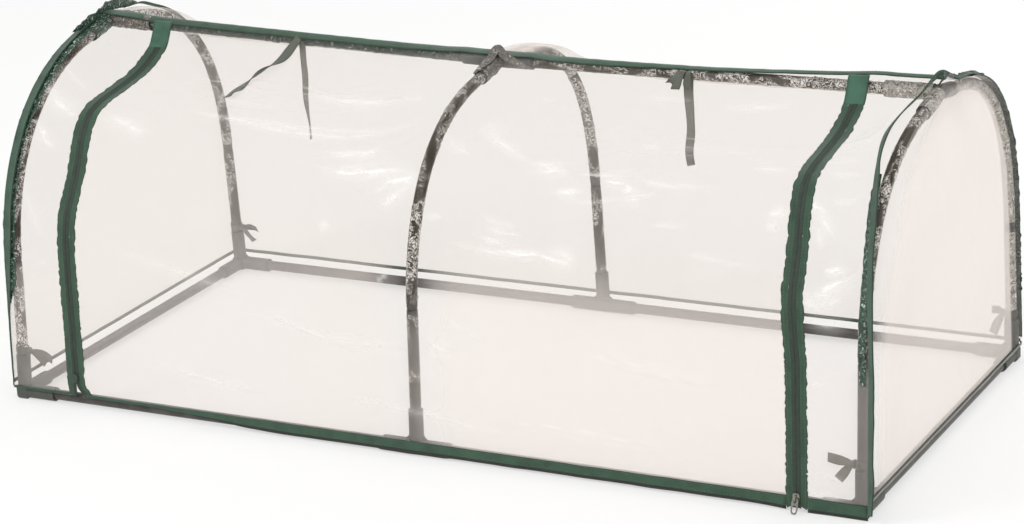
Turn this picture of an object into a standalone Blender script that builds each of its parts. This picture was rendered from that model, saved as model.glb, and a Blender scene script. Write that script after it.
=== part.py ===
"""Row cover tunnel: a bent steel tube frame in moulded sockets, under a clear zipped film cover."""

import math

import bmesh
import bpy
from mathutils import Matrix, Vector

# Frame, in metres. X runs along the tunnel, -Y is the zipped front, Z is up, z = 0 is the ground.
tunnel_length = 1.200        # between the planes of the two end hoops
tunnel_depth = 0.560         # between the two feet of a hoop
spring_height = 0.180        # straight leg of a hoop, above the rail axis
leg_lean = 0.010             # how far a leg leans in over its straight height
crown_height = 0.4385        # top of the bent stretch, above the rail axis
crown_straight = 0.050       # straight stretch on each side of the crown
crown_rise = 0.007           # how much higher the two straight stretches cross
crown_dips = {"left": 0.0, "middle": 0.0135, "right": 0.0085}    # how far each crown sags
crown_sag = 6                # a higher power keeps the sag nearer to the crown
fullness = {-1: 2.15, 1: 2.35}       # front and rear: 2 is an ellipse, more is squarer
arc_steps = 11

# Steel tube
tube_diameter = 0.014
tube_wall = 0.0008
swage_length = 0.030         # reduced end that slips into the leg below
swage_taper = 0.004
tube_resolution = 4          # 12 sides
tube_sides = 12
fit_gap = 0.0003

# Moulded sockets
socket_diameter = 0.019
hub_size = 0.0196
hub_edge = 0.003
corner_reach = 0.050         # from the axis crossing to a mouth
tee_reach = 0.047
upright_reach = 0.049
crown_reach = 0.045
ridge_reach = 0.050
socket_core = 0.012          # solid middle that stops the tubes
gusset_size = 0.020
gusset_thickness = 0.003
socket_sides = 16
hub_rings = 10
overrun = 0.002              # how far cutters pass a face

# Film cover
film_thickness = 0.0005
cover_gap = 0.0004           # between the hubs and the film
# How high the ridge seam runs above the ridge tubes' axis, at shares of the half length
ridge_lifts = (
    (-1.02, 0.0104), (-0.92, 0.0104), (-0.86, 0.0082), (-0.13, 0.0082), (-0.09, 0.0102),
    (0.09, 0.0102), (0.13, 0.0082), (0.48, 0.0086), (0.65, 0.0120), (0.79, 0.0160),
    (0.86, 0.0195), (1.02, 0.0200),
)
hoop_hold = 0.012            # stretch beside a hoop where the film stays tight
slack_reach = 0.075          # how soon the film goes slack beside an end hoop
middle_reach = 0.200         # and beside the middle hoop
rear_slack_share = 0.45      # the rear hangs tighter than the front
front_hem_top = 0.0200
front_hem_bottom = 0.0040
base_hem_top = 0.0275
base_hem_bottom = 0.0235
binding_thickness = 0.0010
ridge_binding_width = 0.0130
fin_width = 0.0145           # bound seam along each end arch
fin_thickness = 0.0016
fin_gap = 0.0004
# How the bound seams lean, in degrees from straight out towards the end, from the front foot
# (-2) over the ridge (0) to the rear foot (2): -90 lies flat on the cover
seam_leans = {
    "left": ((-2, -45), (-1.5, -72), (-0.3, -80), (0, -68), (0.3, -72), (2, -84)),
    "right": ((-2, 45), (-0.3, 45), (-0.08, 35), (0.02, -20), (0.12, -74), (0.4, -82), (2, -84)),
}
# How far in the right arch seam rides on the front, from the ridge (0) to the straight stretch
seam_shifts = (
    (0, 0.010), (0.05, 0.017), (0.17, 0.026), (0.30, 0.035), (0.38, 0.031), (0.60, 0.015),
    (0.75, 0.008), (0.95, 0),
)
rear_seam_ease = 0.1

# Zips
left_zip_base_inset = 0.0920     # from the plane of the end hoop
left_zip_ridge_inset = 0.0920
right_zip_base_inset = 0.0795
right_zip_ridge_inset = 0.1000
zip_half_width = 0.0130
coil_reach = 0.0045
coil_clearance = 0.0008      # half the slit between the two coils
coil_thickness = 0.0026
tape_thickness = 0.0010
patch_length = 0.038         # plain green patch over the top of each zip
slider_width = 0.0104
slider_length = 0.0125
slider_plate = 0.0012
slider_neck = 0.0010
slider_neck_length = 0.0060
slider_edge = 0.0003
right_slider_height = 0.0187
left_slider_height = 0.042
bridge_span = 0.0076
bridge_rise = 0.0026
bridge_radius = 0.0006
pull_width = 0.0090
pull_length = 0.0200
pull_thickness = 0.0010
pull_bar = 0.0014
pull_window = 0.0032
pull_window_length = 0.0055
pull_rim = 0.0018
right_pull_tilt = 22         # degrees: the ring of the front pull rests on the ground
bend_points = 6

# Ribbons
ribbon_width = 0.0125
ribbon_thickness = 0.001
inner_tie_length = 0.135
outer_tie_length = 0.135
outer_tie_start_share = -0.490       # of the half length
outer_tie_end_share = -0.545
right_tie_share = 0.4533
left_tie_share = -0.4833
tie_start = 0.012            # from the ridge line down the cover
folded_tie_length = 0.026
folded_tie_bulge = 0.004
corner_tie_height = 0.0600
corner_tie_knot = 0.011
corner_tie_tail = 0.036
corner_tie_short_tail = 0.026

# The slack film between two hoops, as shares of the half depth and of the ridge height,
# from the ridge to the top of the straight stretch
slack_shares = (
    (0.000, 1.000), (0.022, 0.996), (0.040, 0.980), (0.058, 0.958), (0.099, 0.925),
    (0.206, 0.893), (0.308, 0.875), (0.457, 0.861), (0.604, 0.848), (0.700, 0.826),
    (0.766, 0.777), (0.805, 0.727), (0.847, 0.672), (0.898, 0.620), (0.945, 0.570),
    (0.970, 0.500),
)
slack_foot_share = 0.980     # of the half depth, at the top of the straight stretch

# Worked out from the values above
rail_height = hub_size / 2
half_length = tunnel_length / 2
half_depth = tunnel_depth / 2
left_zip_base = left_zip_base_inset - half_length
left_zip_ridge = left_zip_ridge_inset - half_length
right_zip_base = half_length - right_zip_base_inset
right_zip_ridge = half_length - right_zip_ridge_inset
outer_tie_start_x = outer_tie_start_share * half_length
outer_tie_end_x = outer_tie_end_share * half_length
right_tie_x = right_tie_share * half_length
left_tie_x = left_tie_share * half_length
tube_radius = tube_diameter / 2
socket_radius = socket_diameter / 2
facet_share = math.cos(math.pi / tube_sides)
swage_radius = tube_radius * facet_share - tube_wall - fit_gap
bore_radius = (tube_radius + fit_gap) / math.cos(math.pi / socket_sides)
tube_stop = socket_core + fit_gap
cover_offset = hub_size / 2 + cover_gap
cover_half_depth = half_depth + cover_offset
end_plane = half_length + cover_offset
film_end = end_plane - fit_gap
tight_start = half_length - hoop_hold
straight_top = rail_height + spring_height
ridge_share_step = 3
ridge_row_steps = 4
bend_row_steps = 2
foot_bend_steps = 4


def between(table, place):
    """The value at a place, from a table of places and values."""
    for (start, before), (end, after) in zip(table, table[1:]):
        if place <= end:
            return before + (after - before) * max(place - start, 0) / (end - start)
    return table[-1][1]


def hoop_path(dip, side):
    """Centre line of half a hoop from its foot to its crown, as (y, z). The crown sags by dip."""
    spring_half = half_depth - leg_lean
    rise = crown_height - spring_height
    slope = leg_lean / spring_height
    power = 2 / fullness[side]
    last = math.acos((crown_straight / spring_half) ** (1 / power))
    points = [Vector((half_depth, rail_height))]
    for step in range(arc_steps + 1):
        angle = last * step / arc_steps
        up = math.sin(angle) ** power
        inward = math.cos(angle) ** power
        lean = slope * rise * up * (1 - up)
        height = straight_top + rise * up - dip * up ** crown_sag
        points.append(Vector(((spring_half - lean) * inward, height)))
    points.append(Vector((0, rail_height + crown_height + crown_rise - dip)))
    return points


def offset_path(path, distance):
    """The path moved outwards, away from the tunnel."""
    moved = []
    for index, point in enumerate(path):
        before = path[max(index - 1, 0)]
        after = path[min(index + 1, len(path) - 1)]
        along = (after - before).normalized()
        moved.append(point + Vector((along.y, -along.x)) * distance)
    return moved


def smooth_path(points, steps):
    """A curve through the points."""
    curve = []
    for index in range(len(points) - 1):
        a = points[max(index - 1, 0)]
        b, c = points[index], points[index + 1]
        d = points[min(index + 2, len(points) - 1)]
        for step in range(steps):
            t = step / steps
            curve.append(
                (b * 2 + (c - a) * t + (a * 2 - b * 5 + c * 4 - d) * t * t
                 + (b * 3 - a - c * 3 + d) * t * t * t) / 2)
    curve.append(points[-1])
    return curve


def point_along(path, share):
    """The point at a share of the path's length."""
    lengths = [(b - a).length for a, b in zip(path, path[1:])]
    left = share * sum(lengths)
    for (a, b), length in zip(zip(path, path[1:]), lengths):
        if left <= length:
            return a.lerp(b, left / length)
        left -= length
    return path[-1]


hoop_planes = {"left": -half_length, "middle": 0.0, "right": half_length}
sides = {"front": -1, "rear": 1}


def dip_at(x):
    table = [(hoop_planes[place], crown_dips[place]) for place in hoop_planes]
    return between(table, x)


def ridge_point(x):
    """A point of the ridge tubes' axis, or the crossing at a crown."""
    return Vector((x, 0, hoop_path(dip_at(x), -1)[-1].y))


def ridge_seam(x):
    """The height of the ridge seam."""
    return ridge_point(x).z + between(ridge_lifts, x / half_length)


def tight_path(x, side):
    """The film where a hoop holds it, from the ridge to the top of the straight stretch."""
    arch = offset_path(hoop_path(dip_at(x), side), cover_offset)[1:-1]
    arch.append(Vector((0, ridge_seam(x))))
    arch.reverse()
    return arch


def slack_path(x):
    """The film between two hoops, over the same stretch."""
    ridge = ridge_seam(x)
    points = [Vector((deep * cover_half_depth, high * ridge)) for deep, high in slack_shares]
    points.append(Vector((slack_foot_share * cover_half_depth, straight_top)))
    return smooth_path(points, ridge_share_step)


def slack_at(x):
    """How slack the film is: 0 at a hoop, 1 between hoops."""
    beside_end = min((tight_start - abs(x)) / slack_reach, 1)
    beside_middle = min((abs(x) - hoop_hold) / middle_reach, 1)
    nearest = max(min(beside_end, beside_middle), 0)
    return math.sin(nearest * math.pi / 2) ** 2


path_store = {}


def paths_at(x, side):
    key = (round(x / tunnel_length, 6), side)
    if key not in path_store:
        path_store[key] = (tight_path(x, side), slack_path(x))
    return path_store[key]


def cover_point(x, down, side, lift=0.0):
    """A point of the cover. down is 0 at the ridge, 1 at the top of the straight stretch
    and 2 at the hem; side is -1 for the front and 1 for the rear."""
    def at(x, down):
        slack = slack_at(x) * (1 if side < 0 else rear_slack_share)
        tight, loose = paths_at(x, side)
        spot = [point_along(path, min(down, 1)) for path in (tight, loose)]
        foot = Vector((cover_half_depth, front_hem_bottom))
        if down > 1:
            spot = [top.lerp(foot, down - 1) for top in spot]
        y, z = spot[0].lerp(spot[1], slack)
        return Vector((x, side * y, z))

    here = at(x, down)
    if lift == 0:
        return here
    step = 1e-3
    sideways = at(x + step * tunnel_length, down) - at(x - step * tunnel_length, down)
    downwards = at(x, down + step) - at(x, max(down - step, 0))
    outward = sideways.cross(downwards).normalized() * side
    return here + outward * lift


def down_at_height(height):
    """The share that lies at a height of the straight stretch."""
    return 1 + (straight_top - height) / (straight_top - front_hem_bottom)


def down_near_ridge(distance):
    """The share that lies a distance from the ridge along the tight film."""
    path = tight_path(-half_length, -1)
    return distance / sum((b - a).length for a, b in zip(path, path[1:]))


def zip_x(side, down):
    """Where a zip's centre line runs."""
    base, ridge = (left_zip_base, left_zip_ridge) if side < 0 else (right_zip_base, right_zip_ridge)
    return ridge + (base - ridge) * min(down, 1) ** 2


def seam_x(end, side, down):
    """Where an arch seam runs: on the end of the cover, and at the right front further in."""
    shift = 0.0
    if end > 0 and side < 0:
        shift = between(seam_shifts, down)
    elif end > 0:
        shift = seam_shifts[0][1] * max(1 - down / rear_seam_ease, 0)
    return end * (end_plane + film_thickness - shift)


def spread(start, end, count):
    return [start + (end - start) * step / count for step in range(count + 1)]


# Scene, collections and materials

for item in list(bpy.data.objects):
    bpy.data.objects.remove(item, do_unlink=True)

parts = bpy.data.collections.new("row_cover_tunnel")
cutters = bpy.data.collections.new("cutters")
bpy.context.scene.collection.children.link(parts)
bpy.context.scene.collection.children.link(cutters)


def material(name, colour, roughness, metallic=0.0, alpha=1.0):
    made = bpy.data.materials.new(name)
    made.use_nodes = True
    shader = made.node_tree.nodes["Principled BSDF"]
    shader.inputs["Base Color"].default_value = (*colour, 1.0)
    shader.inputs["Roughness"].default_value = roughness
    shader.inputs["Metallic"].default_value = metallic
    shader.inputs["Alpha"].default_value = alpha
    return made


steel = material("grey_coated_steel", (0.16, 0.15, 0.14), 0.45, 0.3)
nylon = material("grey_moulded_nylon", (0.16, 0.17, 0.15), 0.55)
film = material("clear_vinyl_film", (0.88, 0.86, 0.84), 0.12, 0.0, 0.25)
webbing = material("green_woven_binding", (0.07, 0.16, 0.11), 0.8)
tape = material("green_zip_tape", (0.07, 0.17, 0.12), 0.75)
nickel = material("nickel_plated_zinc", (0.62, 0.61, 0.58), 0.3, 1.0)
painted_zinc = material("dark_painted_zinc", (0.05, 0.07, 0.06), 0.45, 0.2)
ribbon = material("grey_green_ribbon", (0.10, 0.12, 0.10), 0.8)


def add(name, data, look, group=parts):
    made = bpy.data.objects.new(name, data)
    group.objects.link(made)
    if look:
        made.data.materials.append(look)
    return made


def as_guide(piece):
    """Moves an object to the guides, which only shape other pieces."""
    for group in list(piece.users_collection):
        group.objects.unlink(piece)
    cutters.objects.link(piece)
    piece.hide_render = True
    piece.display_type = "WIRE"
    return piece


def combine(target, other, operation):
    step = target.modifiers.new(other.name, "BOOLEAN")
    step.operation = operation
    step.solver = "EXACT"
    step.object = as_guide(other)
    return target


def from_bmesh(name, shape, look):
    bmesh.ops.recalc_face_normals(shape, faces=shape.faces)
    data = bpy.data.meshes.new(name)
    shape.to_mesh(data)
    shape.free()
    return add(name, data, look)


def round_off(piece, degrees=40):
    piece.data.shade_smooth()
    piece.data.set_sharp_from_angle(angle=math.radians(degrees))


def rod(name, start, end, radius, sides, look=None):
    """A solid cylinder from one point to another."""
    along = end - start
    place = Matrix.Translation((start + end) / 2) @ along.to_track_quat("Z", "Y").to_matrix().to_4x4()
    shape = bmesh.new()
    bmesh.ops.create_cone(shape, cap_ends=True, segments=sides, radius1=radius, radius2=radius,
                          depth=along.length, matrix=place)
    return from_bmesh(name, shape, look)


def block(name, size, place, look=None, edge=0.0):
    """A box of a size, with its centre and turn from a matrix."""
    shape = bmesh.new()
    bmesh.ops.create_cube(shape, size=1)
    bmesh.ops.transform(shape, matrix=Matrix.Diagonal((*size, 1)), verts=shape.verts)
    if edge:
        bmesh.ops.bevel(shape, geom=shape.edges[:], offset=edge, segments=1, affect="EDGES")
    bmesh.ops.transform(shape, matrix=place, verts=shape.verts)
    return from_bmesh(name, shape, look)


def as_mesh(curve_object):
    """A curve object turned into a mesh with its caps welded."""
    bpy.context.view_layer.update()
    graph = bpy.context.evaluated_depsgraph_get()
    data = bpy.data.meshes.new_from_object(curve_object.evaluated_get(graph))
    shape = bmesh.new()
    shape.from_mesh(data)
    bmesh.ops.remove_doubles(shape, verts=shape.verts, dist=fit_gap / 10)
    shape.to_mesh(data)
    shape.free()
    name = curve_object.name
    place = curve_object.matrix_world.copy()
    bpy.data.objects.remove(curve_object, do_unlink=True)
    made = add(name, data, None)
    made.matrix_world = place
    return made


def flat_outline(name, outlines, thickness, place, look):
    """A plate from closed outlines; inner ones are holes."""
    data = bpy.data.curves.new(name, "CURVE")
    data.dimensions = "2D"
    data.fill_mode = "BOTH"
    data.extrude = thickness / 2
    for outline in outlines:
        spline = data.splines.new("POLY")
        spline.points.add(len(outline) - 1)
        for point, (x, y) in zip(spline.points, outline):
            point.co = (x, y, 0, 1)
        spline.use_cyclic_u = True
    made = add(name, data, look)
    made.matrix_world = place
    return made


def loft(name, rings, look, closed=False):
    """A skin over rings of points, with flat ends unless the rings close on themselves."""
    shape = bmesh.new()
    rows = [[shape.verts.new(point) for point in ring] for ring in rings]
    pairs = list(zip(rows, rows[1:]))
    if closed:
        pairs.append((rows[-1], rows[0]))
    for row, after in pairs:
        for index in range(len(row)):
            other = (index + 1) % len(row)
            shape.faces.new((row[index], row[other], after[other], after[index]))
    if not closed:
        shape.faces.new(rows[0])
        shape.faces.new(list(reversed(rows[-1])))
    return from_bmesh(name, shape, look)


# Steel tubes

def tube(name, points, radii=None):
    """A hollow tube along points: an open curve skin with its wall inside."""
    data = bpy.data.curves.new(name, "CURVE")
    data.dimensions = "3D"
    data.bevel_depth = tube_radius
    data.bevel_resolution = tube_resolution
    data.use_fill_caps = False
    spline = data.splines.new("POLY")
    spline.points.add(len(points) - 1)
    for index, point in enumerate(points):
        spline.points[index].co = (*point, 1)
        spline.points[index].radius = radii[index] / tube_radius if radii else 1
    spline.use_smooth = True
    made = add(name, data, steel)
    wall = made.modifiers.new("wall", "SOLIDIFY")
    wall.thickness = tube_wall
    wall.offset = -1
    wall.use_even_offset = True
    return made


def in_hoop(x, side, point):
    return Vector((x, side * point.x, point.y))


def hoop_tubes(place, x, side_name, side):
    """One half of a hoop: a straight leg, and a bow whose reduced end slips into the leg."""
    path = hoop_path(crown_dips[place], side)
    foot, spring, crown = path[0], path[1], path[-1]
    up = (spring - foot).normalized()
    start = foot + up * tube_stop
    tube(f"leg_{side_name}_{place}", [in_hoop(x, side, start), in_hoop(x, side, spring)])
    inward = (path[-2] - crown).normalized()
    shoulder = spring + up * fit_gap
    points = [shoulder - up * swage_length, shoulder, shoulder + up * swage_taper]
    radii = [swage_radius, swage_radius, tube_radius]
    points += path[2:-1] + [crown + inward * tube_stop]
    radii += [tube_radius] * (len(points) - len(radii))
    tube(f"bow_{side_name}_{place}", [in_hoop(x, side, point) for point in points], radii)


def rails():
    for side_name, side in sides.items():
        for end_name, end in (("left", -1), ("right", 1)):
            y = side * half_depth
            tube(f"rail_{side_name}_{end_name}",
                 [Vector((end * tube_stop, y, rail_height)),
                  Vector((end * (half_length - tube_stop), y, rail_height))])
    for end_name, end in (("left", -1), ("right", 1)):
        reach = half_depth - tube_stop
        tube(f"end_rail_{end_name}",
             [Vector((end * half_length, -reach, rail_height)),
              Vector((end * half_length, reach, rail_height))])
        outer, inner = ridge_point(end * half_length), ridge_point(0)
        along = (inner - outer).normalized()
        tube(f"ridge_tube_{end_name}", [outer + along * tube_stop, inner - along * tube_stop])


# Moulded sockets

def gusset(name, centre, along, up):
    """A small triangular web in the corner between two sockets."""
    inner = socket_radius - tube_wall * 2
    outline = [(inner, inner), (inner + gusset_size, inner), (inner, inner + gusset_size)]
    across = along.cross(up).normalized()
    place = Matrix.Translation(centre) @ Matrix((along, up, across)).transposed().to_4x4()
    return as_mesh(flat_outline(name, [outline], gusset_thickness, place, None))


def square_hub(name, centre):
    return block(name, (hub_size,) * 3, Matrix.Translation(centre), nylon, hub_edge)


def round_hub(name, centre):
    shape = bmesh.new()
    bmesh.ops.create_uvsphere(shape, u_segments=hub_rings * 2, v_segments=hub_rings,
                              radius=cover_offset - fit_gap, matrix=Matrix.Translation(centre))
    return from_bmesh(name, shape, nylon)


def connector(body, centre, arms, webs=()):
    """Adds a tube socket along each arm of a hub, and webs between them."""
    name = body.name
    for index, (direction, reach) in enumerate(arms):
        along = direction.normalized()
        start = centre + along * fit_gap * (index + 1)
        end = centre + along * reach
        combine(body, rod(f"{name}_arm_{index}", start, end, socket_radius, socket_sides), "UNION")
    for index, (along, up) in enumerate(webs):
        combine(body, gusset(f"{name}_web_{index}", centre, along, up), "UNION")
    for index, (direction, reach) in enumerate(arms):
        along = direction.normalized()
        cut = rod(f"{name}_bore_{index}", centre + along * socket_core,
                  centre + along * (reach + overrun), bore_radius, socket_sides)
        combine(body, cut, "DIFFERENCE")
    return body


def base_connectors():
    foot, spring = hoop_path(0, -1)[:2]
    for side_name, side in sides.items():
        up = (in_hoop(0, side, spring) - in_hoop(0, side, foot)).normalized()
        across = Vector((0, -side, 0))
        for end_name, end in (("left", -1), ("right", 1)):
            along = Vector((-end, 0, 0))
            centre = Vector((end * half_length, side * half_depth, rail_height))
            hub = square_hub(f"corner_socket_{side_name}_{end_name}", centre)
            connector(hub, centre,
                      [(along, corner_reach), (across, corner_reach), (up, corner_reach)],
                      [(along, up), (across, Vector((0, 0, 1)))])
        centre = Vector((0, side * half_depth, rail_height))
        right = Vector((1, 0, 0))
        hub = rod(f"tee_socket_{side_name}", centre - right * socket_core, centre + right * socket_core,
                  hub_size / 2, socket_sides * 2, nylon)
        connector(hub, centre,
                  [(right, tee_reach), (-right, tee_reach), (up, upright_reach)],
                  [(right, up), (-right, up)])


def crown_connectors():
    for place, x in hoop_planes.items():
        centre = ridge_point(x)
        arms = []
        for side in (-1, 1):
            crown = hoop_path(crown_dips[place], side)[-2]
            arms.append((in_hoop(x, side, crown) - centre, crown_reach))
        neighbours = [other for other in hoop_planes.values() if 0 < abs(other - x) <= half_length]
        for other in neighbours:
            arms.append((ridge_point(other) - centre, ridge_reach))
        connector(round_hub(f"crown_socket_{place}", centre), centre, arms)


# Film cover

def film_panel(name, side, anchors, columns, downs):
    """Clear film over a stretch of the cover. anchors give the x of its edges and hoops,
    some as a function of how far down they are."""
    anchors = list(anchors) + [anchors[-1]]
    shape = bmesh.new()
    lanes = [(0, 0.0)]
    for lane, count in enumerate(columns):
        lanes += [(lane, step / count) for step in range(1, count + 1)]
    if side > 0:
        lanes.reverse()
    across, along = len(lanes) - 1, len(downs) - 1
    bmesh.ops.create_grid(shape, x_segments=across, y_segments=along, size=1)
    for vert in shape.verts:
        lane, share = lanes[round((vert.co.x + 1) / 2 * across)]
        down = downs[round((1 - vert.co.y) / 2 * along)]
        start, end = [edge(down) if callable(edge) else edge for edge in anchors[lane:lane + 2]]
        vert.co = cover_point(start + (end - start) * share, down, side)
    data = bpy.data.meshes.new(name)
    shape.to_mesh(data)
    shape.free()
    made = add(name, data, film)
    skin = made.modifiers.new("film", "SOLIDIFY")
    skin.thickness = film_thickness
    skin.offset = 1
    skin.use_even_offset = True
    return made


def arch_shares(end=-1, side=-1):
    """The shares at which the film bends where an end hoop holds it."""
    path = tight_path(end * half_length, side)
    lengths = [(b - a).length for a, b in zip(path, path[1:])]
    return [sum(lengths[:index]) / sum(lengths) for index in range(len(path))]


def cover_rows(top, bottom, lower=2):
    """Shares of the rows of film from one share to another, closer near the ridge."""
    bends = arch_shares()
    rows = []
    for index, (start, end) in enumerate(zip(bends, bends[1:])):
        count = ridge_row_steps if index == 0 else bend_row_steps if index < len(bends) - foot_bend_steps else 1
        rows += [down for down in spread(start, end, count)[:-1] if down > top + ridge_edge / 4]
    return [top] + rows + spread(1, bottom, lower)


def rows_between(start, end):
    """The film's own rows from one share to another, so that a band follows its bends."""
    inner = [down for down in cover_rows(film_top, film_bottom) if start < down < end]
    return [start] + inner + [end]


def film_rows(start, end):
    """The film's rows nearest to two shares and all between."""
    rows = cover_rows(film_top, film_bottom)
    first, last = [min(rows, key=lambda down: abs(down - share)) for share in (start, end)]
    return [down for down in rows if first <= down <= last]


ridge_edge = down_near_ridge(ridge_binding_width / 2)
film_top = down_near_ridge(ridge_binding_width / 2 + fit_gap)
film_bottom = down_at_height(front_hem_top + fit_gap)
rear_bottom = down_at_height(base_hem_top + fit_gap)
patch_bottom = down_near_ridge(ridge_binding_width / 2 + patch_length)
zip_top = down_near_ridge(ridge_binding_width / 2 + patch_length + fit_gap)
zip_bottom = down_at_height(front_hem_bottom)
zip_edge = zip_half_width + fit_gap


def film_panels():
    lift_start = right_tie_x
    rows = cover_rows(film_top, film_bottom)
    film_panel("door_panel", -1,
               [lambda down: zip_x(-1, down) + zip_edge, -middle_reach, -hoop_hold, hoop_hold,
                middle_reach, lift_start, lambda down: zip_x(1, down) - zip_edge],
               [2, 3, 1, 3, 1, 3], rows)
    film_panel("side_strip_left", -1,
               [-film_end, -tight_start, lambda down: zip_x(-1, down) - zip_edge], [1, 2], rows)
    film_panel("side_strip_right", -1,
               [lambda down: zip_x(1, down) + zip_edge,
                lambda down: min(seam_x(1, -1, down), tight_start), film_end], [2, 1], rows)
    slack_start = tight_start - slack_reach
    film_panel("rear_panel", 1,
               [-film_end, -tight_start, -slack_start, -middle_reach, -hoop_hold,
                hoop_hold, middle_reach, lift_start, slack_start, tight_start, film_end],
               [1, 2, 2, 3, 1, 3, 1, 2, 2, 1], cover_rows(film_top, rear_bottom))


def end_outline(end, lift, bottom):
    """The arch of an end, as (y, z) points from the front hem round to the rear hem."""
    halves = []
    for side in (-1, 1):
        path = offset_path(list(reversed(tight_path(end * half_length, side))), lift)
        path[-1] = Vector((0, ridge_seam(end * half_length) + lift))
        foot = Vector((cover_half_depth + lift, front_hem_bottom))
        top = path[0]
        share = (top.y - bottom) / (top.y - foot.y)
        halves.append([(side * point.x, point.y) for point in [top.lerp(foot, share)] + path])
    return halves[0] + list(reversed(halves[1][:-1]))


def end_panels():
    for end_name, end in (("left", -1), ("right", 1)):
        outline = end_outline(end, film_thickness, base_hem_top + fit_gap)
        x = end * (end_plane + film_thickness / 2)
        turn = Matrix(((0, 0, 1, x), (1, 0, 0, 0), (0, 1, 0, 0), (0, 0, 0, 1)))
        flat_outline(f"end_panel_{end_name}", [outline], film_thickness, turn, film)


# Bindings

def cover_strip(name, side, lefts, rights, downs, thickness, look, lift=0.0):
    """A band on the cover between two edges, one ring of points for each row."""
    rings = []
    for down in downs:
        left, right = lefts(down), rights(down)
        rings.append([cover_point(left, down, side, lift), cover_point(right, down, side, lift),
                      cover_point(right, down, side, lift + thickness),
                      cover_point(left, down, side, lift + thickness)])
    return loft(name, rings, look)


def ridge_binding():
    """The bound seam along the ridge: a shallow roof over the ridge tube."""
    bends = [share * half_length for share, lift in ridge_lifts[1:-1]]
    rings = []
    for x in sorted([-film_end, film_end] + bends + list(hoop_planes.values())[1:2]):
        front = cover_point(x, ridge_edge, -1)
        top = cover_point(x, 0, -1)
        rear = cover_point(x, ridge_edge, 1)
        up = Vector((0, 0, binding_thickness))
        rings.append([front, top, rear, rear + up, top + up, front + up])
    loft("ridge_binding", rings, webbing)


def arch_binding(end_name, end):
    """The bound seam round one end: a strip that leans from the corner of the cover."""
    front = [(-1, down) for down in arch_shares(end, -1) + spread(1, zip_bottom, 3)[1:]]
    rear = [(1, down) for down in arch_shares(end, 1)[1:] + spread(1, rear_bottom, 3)[1:]]
    rings = []
    for side, down in list(reversed(front)) + rear:
        x = seam_x(end, side, down)
        skin = cover_point(x, down, side)
        outward = Vector((0, 0, 1))
        if down > 0:
            outward = cover_point(x, down, side, film_thickness) - skin
            outward.x = 0
            outward.normalize()
        lean = math.radians(between(seam_leans[end_name], side * down))
        sideways = Vector((end, 0, 0))
        away = outward * math.cos(lean) + sideways * math.sin(lean)
        across = (sideways * math.cos(lean) - outward * math.sin(lean)) * fin_thickness / 2
        near = skin + outward * (film_thickness + fin_gap + fin_thickness / 2)
        far = near + away * fin_width
        rings.append([near - across, near + across, far + across, far - across])
    loft(f"arch_binding_{end_name}", rings, webbing)


def hems():
    """The bound lower edge: a wide front hem in three runs, and a narrow one round the base."""
    height = front_hem_top - front_hem_bottom
    runs = {
        "side_hem_left": (-film_end + fin_gap * 2, left_zip_base - zip_edge - fit_gap),
        "door_hem": (left_zip_base + zip_edge + fit_gap,
                     zip_x(1, down_at_height(front_hem_top)) - zip_edge - fit_gap),
        "side_hem_right": (right_zip_base + zip_edge + fit_gap, film_end - fin_gap * 2),
    }
    for name, (start, end) in runs.items():
        centre = Vector(((start + end) / 2, -cover_half_depth - binding_thickness / 2,
                         front_hem_bottom + height / 2))
        block(name, (end - start, binding_thickness, height), Matrix.Translation(centre), webbing)

    front = -cover_half_depth + fit_gap * 2
    rear = cover_half_depth
    outline = [(-end_plane, front), (-end_plane, rear), (end_plane, rear), (end_plane, front),
               (end_plane + binding_thickness, front),
               (end_plane + binding_thickness, rear + binding_thickness),
               (-end_plane - binding_thickness, rear + binding_thickness),
               (-end_plane - binding_thickness, front)]
    place = Matrix.Translation((0, 0, (base_hem_top + base_hem_bottom) / 2))
    flat_outline("base_binding", [outline], base_hem_top - base_hem_bottom, place, webbing)


# Zips

def zip_frame(side, height):
    """The place at a height of a zip's straight stretch: x along the tunnel, y up the zip and
    z outwards. A slider runs along this y."""
    low = cover_point(zip_x(side, zip_bottom), zip_bottom, -1)
    high = cover_point(zip_x(side, 1), 1, -1)
    centre = low.lerp(high, (height - low.z) / (high.z - low.z))
    up = (high - low).normalized()
    outward = Vector((1, 0, 0)).cross(up).normalized()
    right = up.cross(outward)
    place = Matrix((right, up, outward)).transposed().to_4x4()
    return Matrix.Translation(centre) @ place


def zip_half(name, side, own):
    """One zip half: a woven tape with the coil along its inner edge. own is the way it faces."""
    section = ((coil_clearance, 0), (zip_half_width, 0), (zip_half_width, tape_thickness),
               (coil_reach, tape_thickness), (coil_reach, coil_thickness),
               (coil_clearance, coil_thickness))
    rings = []
    for down in cover_rows(zip_top, zip_bottom, 1):
        centre = zip_x(side, down)
        rings.append([cover_point(centre + own * across, down, -1, lift) for across, lift in section])
    loft(name, rings, tape)


def zip_patch(name, side):
    cover_strip(name, -1, lambda down: zip_x(side, down) - zip_half_width,
                lambda down: zip_x(side, down) + zip_half_width,
                rows_between(film_top, patch_bottom), binding_thickness, webbing)


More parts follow.
